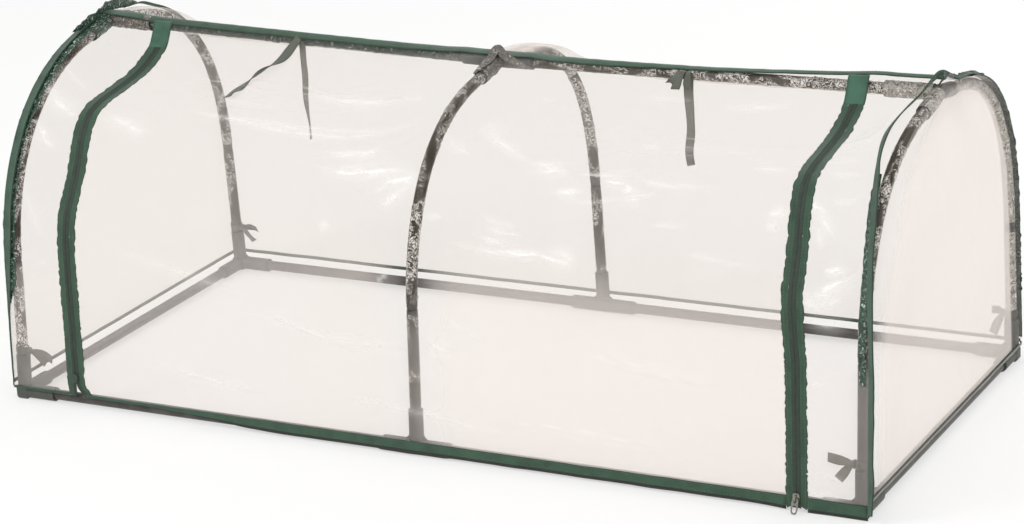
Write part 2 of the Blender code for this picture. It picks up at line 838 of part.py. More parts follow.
def zip_slider(name, side, height, face, look):
    """A slider with a full front plate, a neck in the slit between the coils and a rear plate
    behind the door's coil, with a bridge for its pull on the front (face 1) or rear (face -1)."""
    frame = zip_frame(side, height)
    own = -side
    front = coil_thickness + fit_gap
    body = block(name, (slider_width, slider_length, slider_plate),
                 frame @ Matrix.Translation((0, 0, front + slider_plate / 2)), look, slider_edge)
    depth = front + fit_gap + slider_plate
    neck = block(f"{name}_neck", (slider_neck, slider_neck_length, depth),
                 frame @ Matrix.Translation((0, 0, (front - fit_gap) / 2)))
    combine(body, neck, "UNION")
    back_width = slider_width / 2 + slider_neck / 4
    back_x = own * (back_width - slider_neck / 2) / 2
    plate = block(f"{name}_rear_plate", (back_width, slider_length, slider_plate),
                  frame @ Matrix.Translation((back_x, 0, -fit_gap - slider_plate / 2)), None, slider_edge)
    combine(body, plate, "UNION")

    surface = front + slider_plate if face > 0 else -fit_gap - slider_plate
    bridge_x = 0 if face > 0 else own * (pull_width / 2 - fit_gap)
    data = bpy.data.curves.new(f"{name}_bridge", "CURVE")
    data.dimensions = "3D"
    data.bevel_depth = bridge_radius
    data.bevel_resolution = 2
    data.use_fill_caps = True
    spline = data.splines.new("POLY")
    half = bridge_span / 2
    reach = bridge_rise + bridge_radius
    points = [(-half, -slider_plate / 2), (-half, reach / 2), (-half + reach / 2, reach),
              (half - reach / 2, reach), (half, reach / 2), (half, -slider_plate / 2)]
    spline.points.add(len(points) - 1)
    for point, (along, out) in zip(spline.points, points):
        point.co = (bridge_x, along, surface + face * out, 1)
    bridge = add(f"{name}_bridge", data, None)
    bridge.matrix_world = frame
    combine(body, as_mesh(bridge), "UNION")

    hinge = frame @ Vector((bridge_x, 0, surface + face * bridge_rise / 2))
    return hinge, frame


def rounded(width, top, bottom, corner):
    """A tall outline with round corners, centred on x."""
    points = []
    half = width / 2
    for centre_x, centre_y, start in ((half - corner, top - corner, 0),
                                      (-half + corner, top - corner, 90),
                                      (-half + corner, bottom + corner, 180),
                                      (half - corner, bottom + corner, 270)):
        for step in range(bend_points // 2):
            angle = math.radians(start + 90 * step / (bend_points // 2 - 1))
            points.append((centre_x + corner * math.cos(angle), centre_y + corner * math.sin(angle)))
    return points


def zip_pull(name, hinge, frame, tilt, look):
    """A pull tab with a window for the bridge and an open ring below, swung out by tilt."""
    half_bar = pull_bar / 2
    window_end = -half_bar - pull_window_length
    outer = rounded(pull_width, half_bar, half_bar - pull_length, pull_width / 4)
    window = rounded(pull_window, -half_bar, window_end, pull_window / 8)
    ring = rounded(pull_width - pull_rim * 2, window_end - pull_rim,
                   half_bar - pull_length + pull_rim, pull_width / 5)
    place = frame.copy()
    place.translation = hinge
    swing = Matrix.Rotation(math.radians(-tilt), 4, "X")
    flat_outline(name, [outer, window, ring], pull_thickness, place @ swing, look)


def zips():
    for end_name, side in (("left", -1), ("right", 1)):
        zip_half(f"zip_tape_fixed_{end_name}", side, side)
        zip_half(f"zip_tape_door_{end_name}", side, -side)
        zip_patch(f"zip_patch_{end_name}", side)
    hinge, frame = zip_slider("zip_slider_right", 1, right_slider_height, 1, nickel)
    zip_pull("zip_pull_right", hinge, frame, right_pull_tilt, nickel)
    hinge, frame = zip_slider("zip_slider_left", -1, left_slider_height, -1, painted_zinc)
    zip_pull("zip_pull_left", hinge, frame, 0, painted_zinc)


# Ribbons

def inner_tie(name, x):
    """A ribbon that hangs inside from the ridge seam, just in front of the ridge tube."""
    top = ridge_point(x).z
    y = -tube_radius - fit_gap - ribbon_thickness / 2
    centre = Vector((x, y, top - inner_tie_length / 2))
    block(name, (ribbon_width, ribbon_thickness, inner_tie_length), Matrix.Translation(centre), ribbon)


def outer_tie(name):
    """A ribbon that trails down the outside of the door from the ridge."""
    start, end = down_near_ridge(tie_start), down_near_ridge(outer_tie_length)
    rings = []
    rows = film_rows(start, end)
    for down in rows:
        share = (down - rows[0]) / (rows[-1] - rows[0])
        x = outer_tie_start_x + (outer_tie_end_x - outer_tie_start_x) * math.sin(math.pi * share / 2)
        lift = film_thickness + fit_gap
        half = ribbon_width / 2
        rings.append([cover_point(x - half, down, -1, lift), cover_point(x + half, down, -1, lift),
                      cover_point(x + half, down, -1, lift + ribbon_thickness),
                      cover_point(x - half, down, -1, lift + ribbon_thickness)])
    loft(name, rings, ribbon)


def folded_tie(name):
    """A ribbon folded into a short bundle on the door beside the ridge."""
    start, end = down_near_ridge(tie_start), down_near_ridge(tie_start + folded_tie_length)
    rings = []
    rows = film_rows(start, end)
    for down in rows:
        share = (down - rows[0]) / (rows[-1] - rows[0])
        lift = film_thickness + fit_gap
        half = ribbon_width / 2
        high = lift + ribbon_thickness + folded_tie_bulge * math.sin(math.pi * share)
        rings.append([cover_point(right_tie_x - half, down, -1, lift),
                      cover_point(right_tie_x + half, down, -1, lift),
                      cover_point(right_tie_x + half, down, -1, high),
                      cover_point(right_tie_x - half, down, -1, high)])
    loft(name, rings, ribbon)


def corner_tie(name, end, side):
    """A ribbon tied round a corner leg: a band, a knot and two tails."""
    path = hoop_path(0, side)
    up = (in_hoop(0, side, path[1]) - in_hoop(0, side, path[0])).normalized()
    foot = in_hoop(end * half_length, side, path[0])
    centre = foot + up * (corner_tie_height - rail_height + ribbon_width / 2)
    inner = (tube_radius + fit_gap) / math.cos(math.pi / socket_sides)
    outer = inner + ribbon_thickness
    half = up * ribbon_width / 2
    band = rod(name, centre - half, centre + half, outer, socket_sides, ribbon)

    inward = Vector((-end, 0, 0))
    knot_centre = centre + inward * (outer + corner_tie_knot / 4)
    knot = block(f"{name}_knot", (corner_tie_knot, corner_tie_knot * 0.8, corner_tie_knot),
                 Matrix.Translation(knot_centre), None, corner_tie_knot / 4)
    combine(band, knot, "UNION")
    for label, length, tilt in (("tail", corner_tie_tail, 6), ("short_tail", corner_tie_short_tail, -38)):
        turn = Matrix.Rotation(math.radians(tilt * end), 4, "Y")
        reach = turn @ inward * (length / 2)
        shift = Vector((0, ribbon_thickness * 0.6 * (1 if tilt > 0 else -1), 0))
        strip = block(f"{name}_{label}", (length, ribbon_thickness, ribbon_width * 0.8),
                      Matrix.Translation(knot_centre + reach + shift) @ turn)
        combine(band, strip, "UNION")
    bore = rod(f"{name}_bore", centre - half - up * overrun, centre + half + up * overrun, inner, socket_sides)
    combine(band, bore, "DIFFERENCE")


for hoop_name, hoop_x in hoop_planes.items():
    for side_label, side_sign in sides.items():
        hoop_tubes(hoop_name, hoop_x, side_label, side_sign)
rails()
base_connectors()
crown_connectors()
film_panels()
end_panels()
ridge_binding()
arch_binding("left", -1)
arch_binding("right", 1)
hems()
zips()
inner_tie("inner_tie_left", left_tie_x)
inner_tie("inner_tie_right", right_tie_x)
outer_tie("outer_tie_left")
folded_tie("outer_tie_right")
for side_label, side_sign in sides.items():
    corner_tie(f"corner_tie_{side_label}_left", -1, side_sign)
    corner_tie(f"corner_tie_{side_label}_right", 1, side_sign)

for piece in parts.objects:
    if piece.type == "MESH":
        round_off(piece)
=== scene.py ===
import math

import bmesh
import bpy
import numpy as np
from mathutils import Matrix, Vector, noise


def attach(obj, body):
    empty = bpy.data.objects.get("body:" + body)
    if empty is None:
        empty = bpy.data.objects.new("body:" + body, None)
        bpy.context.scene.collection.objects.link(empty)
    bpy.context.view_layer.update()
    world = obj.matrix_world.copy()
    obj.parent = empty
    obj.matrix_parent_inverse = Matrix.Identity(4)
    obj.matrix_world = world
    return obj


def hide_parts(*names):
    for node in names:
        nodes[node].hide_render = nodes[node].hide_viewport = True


# Row cover tunnel: grey steel hoops in moulded sockets, a clear vinyl cover with green
# woven bindings, two long zips at the front and grey-green ribbons.
# Metres. X runs along the tunnel, -Y is the zipped front, Z is up.

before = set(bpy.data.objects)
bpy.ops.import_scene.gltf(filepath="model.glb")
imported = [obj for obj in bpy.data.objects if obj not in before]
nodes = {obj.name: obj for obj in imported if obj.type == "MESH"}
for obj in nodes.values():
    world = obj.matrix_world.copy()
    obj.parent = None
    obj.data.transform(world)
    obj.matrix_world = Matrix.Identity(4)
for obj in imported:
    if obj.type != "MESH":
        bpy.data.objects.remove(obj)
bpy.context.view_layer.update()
scene = bpy.context.scene
print("frame loaded:", len(nodes), "nodes")

# ---- the tunnel's own sizes

tunnel = {
    "halfLength": 0.600,
    "halfDepth": 0.280,
    "railHeight": 0.0098,
    "springHeight": 0.180,
    "legLean": 0.010,
    "crownHeight": 0.4385,
    "crownStraight": 0.050,
    "crownRise": 0.007,
    "crownDips": ((-0.6, 0.0), (0.0, 0.0135), (0.6, 0.0085)),
    "crownSag": 6,
    "fullness": {-1: 2.15, 1: 2.35},
    "arcSteps": 44,
    "coverOffset": 0.0102,
    "hoopHold": 0.012,
    "slackReach": 0.075,
    "middleReach": 0.200,
    "rearSlackShare": 0.45,
    "frontHemTop": 0.0200,
    "frontHemBottom": 0.0040,
    "baseHemTop": 0.0275,
    "baseHemBottom": 0.0235,
}
# how high the ridge seam runs above the ridge tubes, at shares of the half length
ridgeLifts = (
    (-1.02, 0.0104), (-0.92, 0.0104), (-0.86, 0.0082), (-0.13, 0.0082), (-0.09, 0.0102),
    (0.09, 0.0102), (0.13, 0.0082), (0.48, 0.0086), (0.65, 0.0120), (0.79, 0.0160),
    (0.86, 0.0195), (1.02, 0.0200),
)
# the slack film between two hoops, as shares of the half depth and of the ridge height
slackShares = (
    (0.000, 1.000), (0.022, 0.996), (0.040, 0.980), (0.058, 0.958), (0.099, 0.925),
    (0.206, 0.893), (0.308, 0.875), (0.457, 0.861), (0.604, 0.848), (0.700, 0.826),
    (0.766, 0.777), (0.805, 0.727), (0.847, 0.672), (0.898, 0.620), (0.945, 0.570),
    (0.970, 0.500),
)
slackFoot = 0.980
# how the end seams lean, from the front foot (-2) over the ridge (0) to the rear foot (2)
seamLeans = {
    "left": ((-2, -45), (-1.5, -72), (-0.3, -80), (0, -68), (0.3, -72), (2, -84)),
    "right": ((-2, 45), (-0.3, 45), (-0.08, 35), (0.02, -20), (0.12, -74), (0.4, -82), (2, -84)),
}
seamShifts = (
    (0, 0.010), (0.05, 0.017), (0.17, 0.026), (0.30, 0.035), (0.38, 0.031), (0.60, 0.015),
    (0.75, 0.008), (0.95, 0),
)
zipFoot = {"left": -0.508, "right": 0.5205}
zipRidge = {"left": -0.508, "right": 0.500}
hoopPlaces = {"left": -0.6, "middle": 0.0, "right": 0.6}
sideNames = {"front": -1, "rear": 1}
ends = {"left": -1, "right": 1}
springTop = tunnel["railHeight"] + tunnel["springHeight"]
coverDepth = tunnel["halfDepth"] + tunnel["coverOffset"]
endPlane = tunnel["halfLength"] + tunnel["coverOffset"]


def tableAt(table, places):
    return np.interp(places, *zip(*table))


def between(table, place):
    return float(tableAt(table, place))


def smooth(value):
    value = np.clip(value, 0, 1)
    return value * value * (3 - 2 * value)


def unit(vectors):
    vectors = np.asarray(vectors, float)
    return vectors / np.maximum(np.linalg.norm(vectors, axis=-1, keepdims=True), 1e-9)


def runsAlong(path):
    # how far along the path each of its points lies
    return np.concatenate([[0], np.cumsum(np.linalg.norm(np.diff(path, axis=0), axis=1))])


def squared(outs, sideways):
    # outs turned square to sideways
    return unit(outs - sideways * (outs * sideways).sum(1, keepdims=True))


def titled(*words):
    return "".join(word.capitalize() for word in words)


def hoopPath(dip, side):
    springHalf = tunnel["halfDepth"] - tunnel["legLean"]
    rise = tunnel["crownHeight"] - tunnel["springHeight"]
    slope = tunnel["legLean"] / tunnel["springHeight"]
    power = 2 / tunnel["fullness"][side]
    last = math.acos((tunnel["crownStraight"] / springHalf) ** (1 / power))
    points = [(tunnel["halfDepth"], tunnel["railHeight"])]
    for step in range(tunnel["arcSteps"] + 1):
        angle = last * step / tunnel["arcSteps"]
        up = math.sin(angle) ** power
        inward = math.cos(angle) ** power
        lean = slope * rise * up * (1 - up)
        points.append(((springHalf - lean) * inward,
                       springTop + rise * up - dip * up ** tunnel["crownSag"]))
    points.append((0, tunnel["railHeight"] + tunnel["crownHeight"] + tunnel["crownRise"] - dip))
    return np.array(points)


def dipAt(x):
    return between(tunnel["crownDips"], x)


def ridgeTubeHeight(x):
    return tunnel["railHeight"] + tunnel["crownHeight"] + tunnel["crownRise"] - dipAt(x)


def ridgeHeight(x):
    return ridgeTubeHeight(x) + between(ridgeLifts, x / tunnel["halfLength"])


def smoothPath(points, steps):
    points = [np.array(point, float) for point in points]
    curve = []
    for index in range(len(points) - 1):
        a = points[max(index - 1, 0)]
        b, c = points[index], points[index + 1]
        d = points[min(index + 2, len(points) - 1)]
        for step in range(steps):
            t = step / steps
            curve.append((b * 2 + (c - a) * t + (a * 2 - b * 5 + c * 4 - d) * t * t
                          + (b * 3 - a - c * 3 + d) * t ** 3) / 2)
    return np.array(curve + [points[-1]])


def resample(path, shares):
    path = np.asarray(path)
    lengths = runsAlong(path)
    places = np.asarray(shares) * lengths[-1]
    return np.stack([np.interp(places, lengths, path[:, axis])
                     for axis in range(path.shape[1])], axis=-1)


def slackAt(x):
    besideEnd = min((tunnel["halfLength"] - tunnel["hoopHold"] - abs(x)) / tunnel["slackReach"], 1)
    besideMiddle = min((abs(x) - tunnel["hoopHold"]) / tunnel["middleReach"], 1)
    nearest = max(min(besideEnd, besideMiddle), 0)
    return math.sin(nearest * math.pi / 2) ** 2


# The cover as two lattices, front and rear. down is 0 at the ridge, 1 at the top of the
# straight stretch and 2 at the hem.
lattice = {"xSteps": 611, "downSteps": 441, "xReach": 0.6112}
latticeX = np.linspace(-lattice["xReach"], lattice["xReach"], lattice["xSteps"])
latticeDown = np.linspace(0, 2, lattice["downSteps"])


def coverColumn(x, side):
    path = hoopPath(dipAt(x), side)
    along = np.zeros_like(path)
    along[1:-1] = path[2:] - path[:-2]
    along = unit(along)
    arch = (path + np.stack([along[:, 1], -along[:, 0]], axis=-1) * tunnel["coverOffset"])[1:-1]
    tight = np.vstack([[(0, ridgeHeight(x))], arch[::-1]])
    loosePoints = [(deep * coverDepth, high * ridgeHeight(x)) for deep, high in slackShares]
    loose = smoothPath(loosePoints + [(slackFoot * coverDepth, springTop)], 4)
    shares = np.minimum(latticeDown, 1)
    slack = slackAt(x) * (1 if side < 0 else tunnel["rearSlackShare"])
    column = resample(tight, shares) * (1 - slack) + resample(loose, shares) * slack
    foot = np.array((coverDepth, tunnel["frontHemBottom"]))
    lower = np.clip(latticeDown - 1, 0, 1)[:, None]
    column = column * (1 - lower) + foot * lower
    return np.column_stack([np.full(len(column), x), side * column[:, 0], column[:, 1]])


covers = {}
for side in (-1, 1):
    spots = np.array([coverColumn(x, side) for x in latticeX])
    across = np.gradient(spots, axis=0)
    downward = np.gradient(spots, axis=1)
    out = unit(np.cross(across, downward) * side)
    run = np.zeros(spots.shape[:2])
    run[:, 1:] = np.cumsum(np.linalg.norm(np.diff(spots, axis=1), axis=2), axis=1)
    covers[side] = {"spots": spots, "out": out, "run": run}


def onCover(x, down, side, field="spots"):
    table = covers[side][field]
    column = (np.asarray(x, float) + lattice["xReach"]) / (2 * lattice["xReach"])
    column = np.clip(column, 0, 1) * (lattice["xSteps"] - 1)
    row = np.clip(np.asarray(down, float) / 2, 0, 1) * (lattice["downSteps"] - 1)
    c0 = np.minimum(column.astype(int), lattice["xSteps"] - 2)
    r0 = np.minimum(row.astype(int), lattice["downSteps"] - 2)
    cf, rf = column - c0, row - r0
    if table.ndim == 3:
        cf, rf = cf[..., None], rf[..., None]
    return ((table[c0, r0] * (1 - cf) + table[c0 + 1, r0] * cf) * (1 - rf)
            + (table[c0, r0 + 1] * (1 - cf) + table[c0 + 1, r0 + 1] * cf) * rf)


def downAtHeight(height):
    return 1 + (springTop - height) / (springTop - tunnel["frontHemBottom"])


def downAtRun(run, x=0.0, side=-1):
    return float(np.interp(run, onCover(np.full(lattice["downSteps"], x), latticeDown, side, "run"),
                           latticeDown))


def zipX(end, down):
    share = np.minimum(down, 1) ** 2
    return zipRidge[end] + (zipFoot[end] - zipRidge[end]) * share


print("cover lattice made")

# ---- small makers


def hexColour(code):
    values = [int(code[place:place + 2], 16) / 255 for place in (1, 3, 5)]
    return [v / 12.92 if v <= 0.04045 else ((v + 0.055) / 1.055) ** 2.4 for v in values] + [1.0]


def addNode(tree, kind, settings=None, links=None):
    node = tree.nodes.new(kind)
    for key, value in (settings or {}).items():
        setattr(node, key, value)
    for key, value in (links or {}).items():
        if isinstance(value, bpy.types.NodeSocket):
            tree.links.new(value, node.inputs[key])
        else:
            node.inputs[key].default_value = value
    return node


def maths(tree, operation, *values, clamp=False):
    settings = {"operation": operation, "use_clamp": clamp}
    return addNode(tree, "ShaderNodeMath", settings, dict(enumerate(values))).outputs[0]


def attributeValue(tree, name):
    return addNode(tree, "ShaderNodeAttribute", {"attribute_name": name}).outputs["Fac"]


def noiseValue(tree, scale, detail=2.0, roughness=0.5, distortion=0.0):
    place = addNode(tree, "ShaderNodeTexCoord").outputs["Object"]
    return addNode(tree, "ShaderNodeTexNoise", links={
        "Vector": place, "Scale": scale, "Detail": detail, "Roughness": roughness,
        "Distortion": distortion}).outputs["Fac"]


def mapped(tree, value, low, high, fromLow=0.0, fromHigh=1.0):
    return addNode(tree, "ShaderNodeMapRange", links={
        "Value": value, "From Min": fromLow, "From Max": fromHigh, "To Min": low,
        "To Max": high}).outputs["Result"]


def toneOf(tree, value, *stops):
    # a colour ramp from stops of (position, colour)
    ramp = addNode(tree, "ShaderNodeValToRGB", links={"Fac": value})
    marks = ramp.color_ramp.elements
    for mark, (place, colour) in ((marks[0], stops[0]), (marks[1], stops[-1])):
        mark.position, mark.color = place, hexColour(colour)
    for place, colour in stops[1:-1]:
        marks.new(place).color = hexColour(colour)
    return ramp.outputs["Color"]


def bumpFrom(tree, height, strength, distance):
    return addNode(tree, "ShaderNodeBump", links={
        "Height": height, "Strength": strength, "Distance": distance}).outputs["Normal"]


def mixedShader(tree, share, first, second):
    return addNode(tree, "ShaderNodeMixShader", links={0: share, 1: first, 2: second}).outputs[0]


def newMaterial(name):
    made = bpy.data.materials.new(name)
    made.use_nodes = True
    tree = made.node_tree
    return made, tree, tree.nodes["Principled BSDF"]


def dress(tree, shader, values):
    for key, value in values.items():
        if isinstance(value, bpy.types.NodeSocket):
            tree.links.new(value, shader.inputs[key])
        else:
            shader.inputs[key].default_value = value


def newPiece(name, data, body, look, replaced=()):
    piece = bpy.data.objects.new(name, data)
    scene.collection.objects.link(piece)
    if look:
        data.materials.clear()
        data.materials.append(look)
    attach(piece, body)
    if replaced:
        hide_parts(*replaced)
    return piece


def meshFrom(name, points, faces, uvs=None, floats=None, smoothed=True):
    # uvs go with the points, and floats are named numbers on the points
    data = bpy.data.meshes.new(name)
    data.from_pydata([tuple(point) for point in points], [], [tuple(face) for face in faces])
    if uvs is not None:
        layer = data.uv_layers.new(name="UVMap")
        corner = np.zeros(len(data.loops), int)
        data.loops.foreach_get("vertex_index", corner)
        layer.data.foreach_set("uv", np.asarray(uvs, float)[corner].ravel())
    for key, values in (floats or {}).items():
        attribute = data.attributes.new(key, "FLOAT", "POINT")
        attribute.data.foreach_set("value", np.asarray(values, np.float32).ravel())
    data.validate()
    if smoothed:
        data.shade_smooth()
    return data


def gridShell(name, spots, out, thickness, uvs, floats=None):
    # a closed thin sheet from a grid of points: the outer face, the inner face and the rim
    rows, columns = spots.shape[:2]
    outer = spots.reshape(-1, 3)
    inner = outer - out.reshape(-1, 3) * thickness
    count = len(outer)
    index = np.arange(count).reshape(rows, columns)
    a, b = index[:-1, :-1].ravel(), index[1:, :-1].ravel()
    c, d = index[1:, 1:].ravel(), index[:-1, 1:].ravel()
    faces = np.concatenate([np.stack([a, b, c, d], 1), np.stack([d, c, b, a], 1) + count])
    rim = np.concatenate([index[:, 0], index[-1, 1:], index[::-1, -1][1:], index[0, ::-1][1:-1]])
    after = np.roll(rim, -1)
    faces = np.concatenate([faces, np.stack([after, rim, rim + count, after + count], 1)])
    flat = uvs.reshape(-1, 2)
    doubled = {key: np.concatenate([v.ravel(), v.ravel()]) for key, v in (floats or {}).items()}
    return meshFrom(name, np.concatenate([outer, inner]), faces.tolist(),
                    np.concatenate([flat, flat]), doubled)


def outwardFaces(data, merged=False):
    shape = bmesh.new()
    shape.from_mesh(data)
    if merged:
        bmesh.ops.remove_doubles(shape, verts=shape.verts, dist=1e-6)
    bmesh.ops.recalc_face_normals(shape, faces=shape.faces)
    shape.to_mesh(data)
    shape.free()
    return data


def ringFaces(count, size):
    # quads between rings of points, each ring closed on itself
    index = np.arange(count * size).reshape(count, size)
    after = np.roll(index, -1, axis=1)
    return index, np.stack([index[:-1], after[:-1], after[1:], index[1:]], -1).reshape(-1, 4)


def ringMesh(name, rings, uvs, edge):
    # a closed band from rings of points, with a face over each end
    index, skin = ringFaces(*rings.shape[:2])
    faces = skin.tolist() + [index[0][::-1].tolist(), index[-1].tolist()]
    return outwardFaces(meshFrom(name, rings.reshape(-1, 3), faces, uvs.reshape(-1, 2),
                                 {"edge": edge.ravel()}))


# the band's section, as (share of the half width, share of the thickness): the woven edges
# are folded under, so they stand a little prouder than the middle
bandSection = (
    (-1.00, 0.30), (-0.985, 0.05), (-0.60, 0.0), (0.0, 0.0), (0.60, 0.0), (0.985, 0.05),
    (1.00, 0.30), (1.00, 0.75), (0.97, 0.98), (0.88, 1.04), (0.76, 0.98), (0.66, 0.84),
    (0.35, 0.80), (0.0, 0.80), (-0.35, 0.80), (-0.66, 0.84), (-0.76, 0.98), (-0.88, 1.04),
    (-0.97, 0.98), (-1.00, 0.75),
)


def bandMesh(name, centres, sideways, outs, halfWidths, thickness, section=bandSection):
    # a closed woven band along centre points; sideways is the way its width runs
    centres, sideways, outs = (np.asarray(v, float) for v in (centres, sideways, outs))
    halfWidths = np.broadcast_to(np.asarray(halfWidths, float), (len(centres),))
    thickness = np.broadcast_to(np.asarray(thickness, float), (len(centres),))
    shares = np.array(section)
    points = (centres[:, None] + sideways[:, None] * (halfWidths[:, None] * shares[:, 0])[..., None]
              + outs[:, None] * (thickness[:, None] * shares[:, 1])[..., None])
    uvs = np.zeros(points.shape[:2] + (2,))
    uvs[..., 0] = runsAlong(centres)[:, None]
    uvs[..., 1] = halfWidths[:, None] * shares[:, 0]
    return ringMesh(name, points, uvs, np.broadcast_to(np.abs(shares[:, 0]), points.shape[:2]))


def nudge(point, scale, seed):
    return noise.noise(Vector(point) * scale + Vector((seed * 7.3, seed * 3.1, seed * 5.7)))


# ---- Geometry Nodes: items in a row along guide lines, and swept tubes


def newTree(name, inputs):
    # an empty tree that takes guide lines and the named inputs, each with its socket type and value
    tree = bpy.data.node_groups.new(name, "GeometryNodeTree")
    sockets = tree.interface
    sockets.new_socket("Geometry", in_out="INPUT", socket_type="NodeSocketGeometry")
    for label, kind, value in inputs:
        sockets.new_socket(label, in_out="INPUT", socket_type="NodeSocket" + kind).default_value = value
    sockets.new_socket("Material", in_out="INPUT", socket_type="NodeSocketMaterial")
    sockets.new_socket("Geometry", in_out="OUTPUT", socket_type="NodeSocketGeometry")
    given = addNode(tree, "NodeGroupInput").outputs
    line = addNode(tree, "GeometryNodeMeshToCurve", links={"Mesh": given["Geometry"]})
    return tree, given, line.outputs["Curve"]


def finishTree(tree, shape, material):
    dressed = addNode(tree, "GeometryNodeSetMaterial", links={"Geometry": shape, "Material": material})
    tree.links.new(dressed.outputs[0], addNode(tree, "NodeGroupOutput").inputs[0])
    return tree


def rowTree(name):
    # puts a small rounded item at each step along the guide lines, turned to them
    tree, given, line = newTree(name, (
        ("Spacing", "Float", 0.004), ("Item Length", "Float", 0.003), ("Item Width", "Float", 0.0006),
        ("Item Height", "Float", 0.0006), ("Turn", "Float", 0.0), ("Wander", "Float", 0.0),
        ("Seed", "Int", 3)))
    steps = addNode(tree, "GeometryNodeResampleCurve", {"mode": "LENGTH"},
                    {"Curve": line, "Length": given["Spacing"]})
    ball = addNode(tree, "GeometryNodeMeshUVSphere", links={"Segments": 6, "Rings": 4, "Radius": 0.5})
    size = addNode(tree, "ShaderNodeCombineXYZ", links={
        "X": given["Item Length"], "Y": given["Item Width"], "Z": given["Item Height"]})
    item = addNode(tree, "GeometryNodeTransform", links={
        "Geometry": ball.outputs["Mesh"], "Scale": size.outputs[0]})
    out = addNode(tree, "GeometryNodeInputNamedAttribute", {"data_type": "FLOAT_VECTOR"},
                  {"Name": "outward"})
    upright = addNode(tree, "FunctionNodeAlignRotationToVector", {"axis": "Z"},
                      {"Vector": out.outputs["Attribute"]})
    tangent = addNode(tree, "GeometryNodeInputTangent")
    turned = addNode(tree, "FunctionNodeAlignRotationToVector", {"axis": "X", "pivot_axis": "Z"},
                     {"Rotation": upright.outputs[0], "Vector": tangent.outputs[0]})
    wander = addNode(tree, "FunctionNodeRandomValue", {"data_type": "FLOAT"}, {
        "Min": -1.0, "Max": 1.0, "Seed": given["Seed"]})
    swing = maths(tree, "MULTIPLY_ADD", wander.outputs[1], given["Wander"], given["Turn"])
    spin = addNode(tree, "ShaderNodeCombineXYZ", links={"Z": swing})
    local = addNode(tree, "FunctionNodeEulerToRotation", links={"Euler": spin.outputs[0]})
    final = addNode(tree, "FunctionNodeRotateRotation", {"rotation_space": "LOCAL"}, {
        "Rotation": turned.outputs[0], "Rotate By": local.outputs[0]})
    placed = addNode(tree, "GeometryNodeInstanceOnPoints", links={
        "Points": steps.outputs["Curve"], "Instance": item.outputs["Geometry"],
        "Rotation": final.outputs[0]})
    real = addNode(tree, "GeometryNodeRealizeInstances", links={"Geometry": placed.outputs[0]})
    smoothed = addNode(tree, "GeometryNodeSetShadeSmooth", links={"Geometry": real.outputs[0]})
    return finishTree(tree, smoothed.outputs[0], given["Material"])


def sweepTree(name):
    # a round tube with flat ends along the guide line; its own girth attribute thins it
    tree, given, line = newTree(name, (("Radius", "Float", 0.007), ("Sides", "Int", 28)))
    share = addNode(tree, "GeometryNodeInputNamedAttribute", {"data_type": "FLOAT"}, {"Name": "girth"})
    sized = addNode(tree, "GeometryNodeSetCurveRadius", links={
        "Curve": line, "Radius": share.outputs["Attribute"]})
    ring = addNode(tree, "GeometryNodeCurvePrimitiveCircle", {"mode": "RADIUS"}, {
        "Resolution": given["Sides"], "Radius": given["Radius"]})
    skin = addNode(tree, "GeometryNodeCurveToMesh", links={
        "Curve": sized.outputs[0], "Profile Curve": ring.outputs[0], "Fill Caps": True})
    if "Scale" in skin.inputs:
        tree.links.new(share.outputs["Attribute"], skin.inputs["Scale"])
    real = addNode(tree, "GeometryNodeRealizeInstances", links={"Geometry": skin.outputs[0]})
    return finishTree(tree, real.outputs[0], given["Material"])


def runTree(tree, name, lines, values, attributes=None):
    # lines are lists of points; attributes give one list of values for each line
    data = bpy.data.meshes.new(name)
    points, edges, starts = [], [], []
    for line in lines:
        starts.append(len(points))
        points += [tuple(point) for point in line]
        edges += [(i, i + 1) for i in range(starts[-1], len(points) - 1)]
    data.from_pydata(points, edges, [])
    for key, rows in (attributes or {}).items():
        flat = np.concatenate([np.asarray(row, np.float32).reshape(len(row), -1) for row in rows])
        if flat.shape[1] == 3:
            made = data.attributes.new(key, "FLOAT_VECTOR", "POINT")
            made.data.foreach_set("vector", flat.ravel())
        else:
            made = data.attributes.new(key, "FLOAT", "POINT")
            made.data.foreach_set("value", flat.ravel())
    holder = bpy.data.objects.new(name + "Guide", data)
    scene.collection.objects.link(holder)
    step = holder.modifiers.new("row", "NODES")
    step.node_group = tree
    for item in tree.interface.items_tree:
        if item.item_type == "SOCKET" and item.in_out == "INPUT" and item.name in values:
            step[item.identifier] = values[item.name]
    bpy.context.view_layer.update()
    graph = bpy.context.evaluated_depsgraph_get()
    result = bpy.data.meshes.new_from_object(holder.evaluated_get(graph))
    result.name = name
    bpy.data.objects.remove(holder, do_unlink=True)
    return result


itemRow = rowTree("itemsAlongGuide")
tubeSweep = sweepTree("sweptTube")
print("node trees made")

# ---- materials


def mottledLook(name, scale, detail, low, high, roughness, grain=None, metallic=0.0):
    # low and high are (position, colour); roughness is a number, or a range that follows the
    # mottle; grain is the (scale, strength) of a fine bump
    made, tree, shader = newMaterial(name)
    mottle = noiseValue(tree, scale, detail)
    rough = mapped(tree, mottle, *roughness) if isinstance(roughness, tuple) else roughness
    dress(tree, shader, {"Base Color": toneOf(tree, mottle, low, high), "Roughness": rough,
                         "Metallic": metallic})
    if grain:
        dress(tree, shader, {"Normal": bumpFrom(tree, noiseValue(tree, grain[0]), grain[1], 0.0003)})
    return made


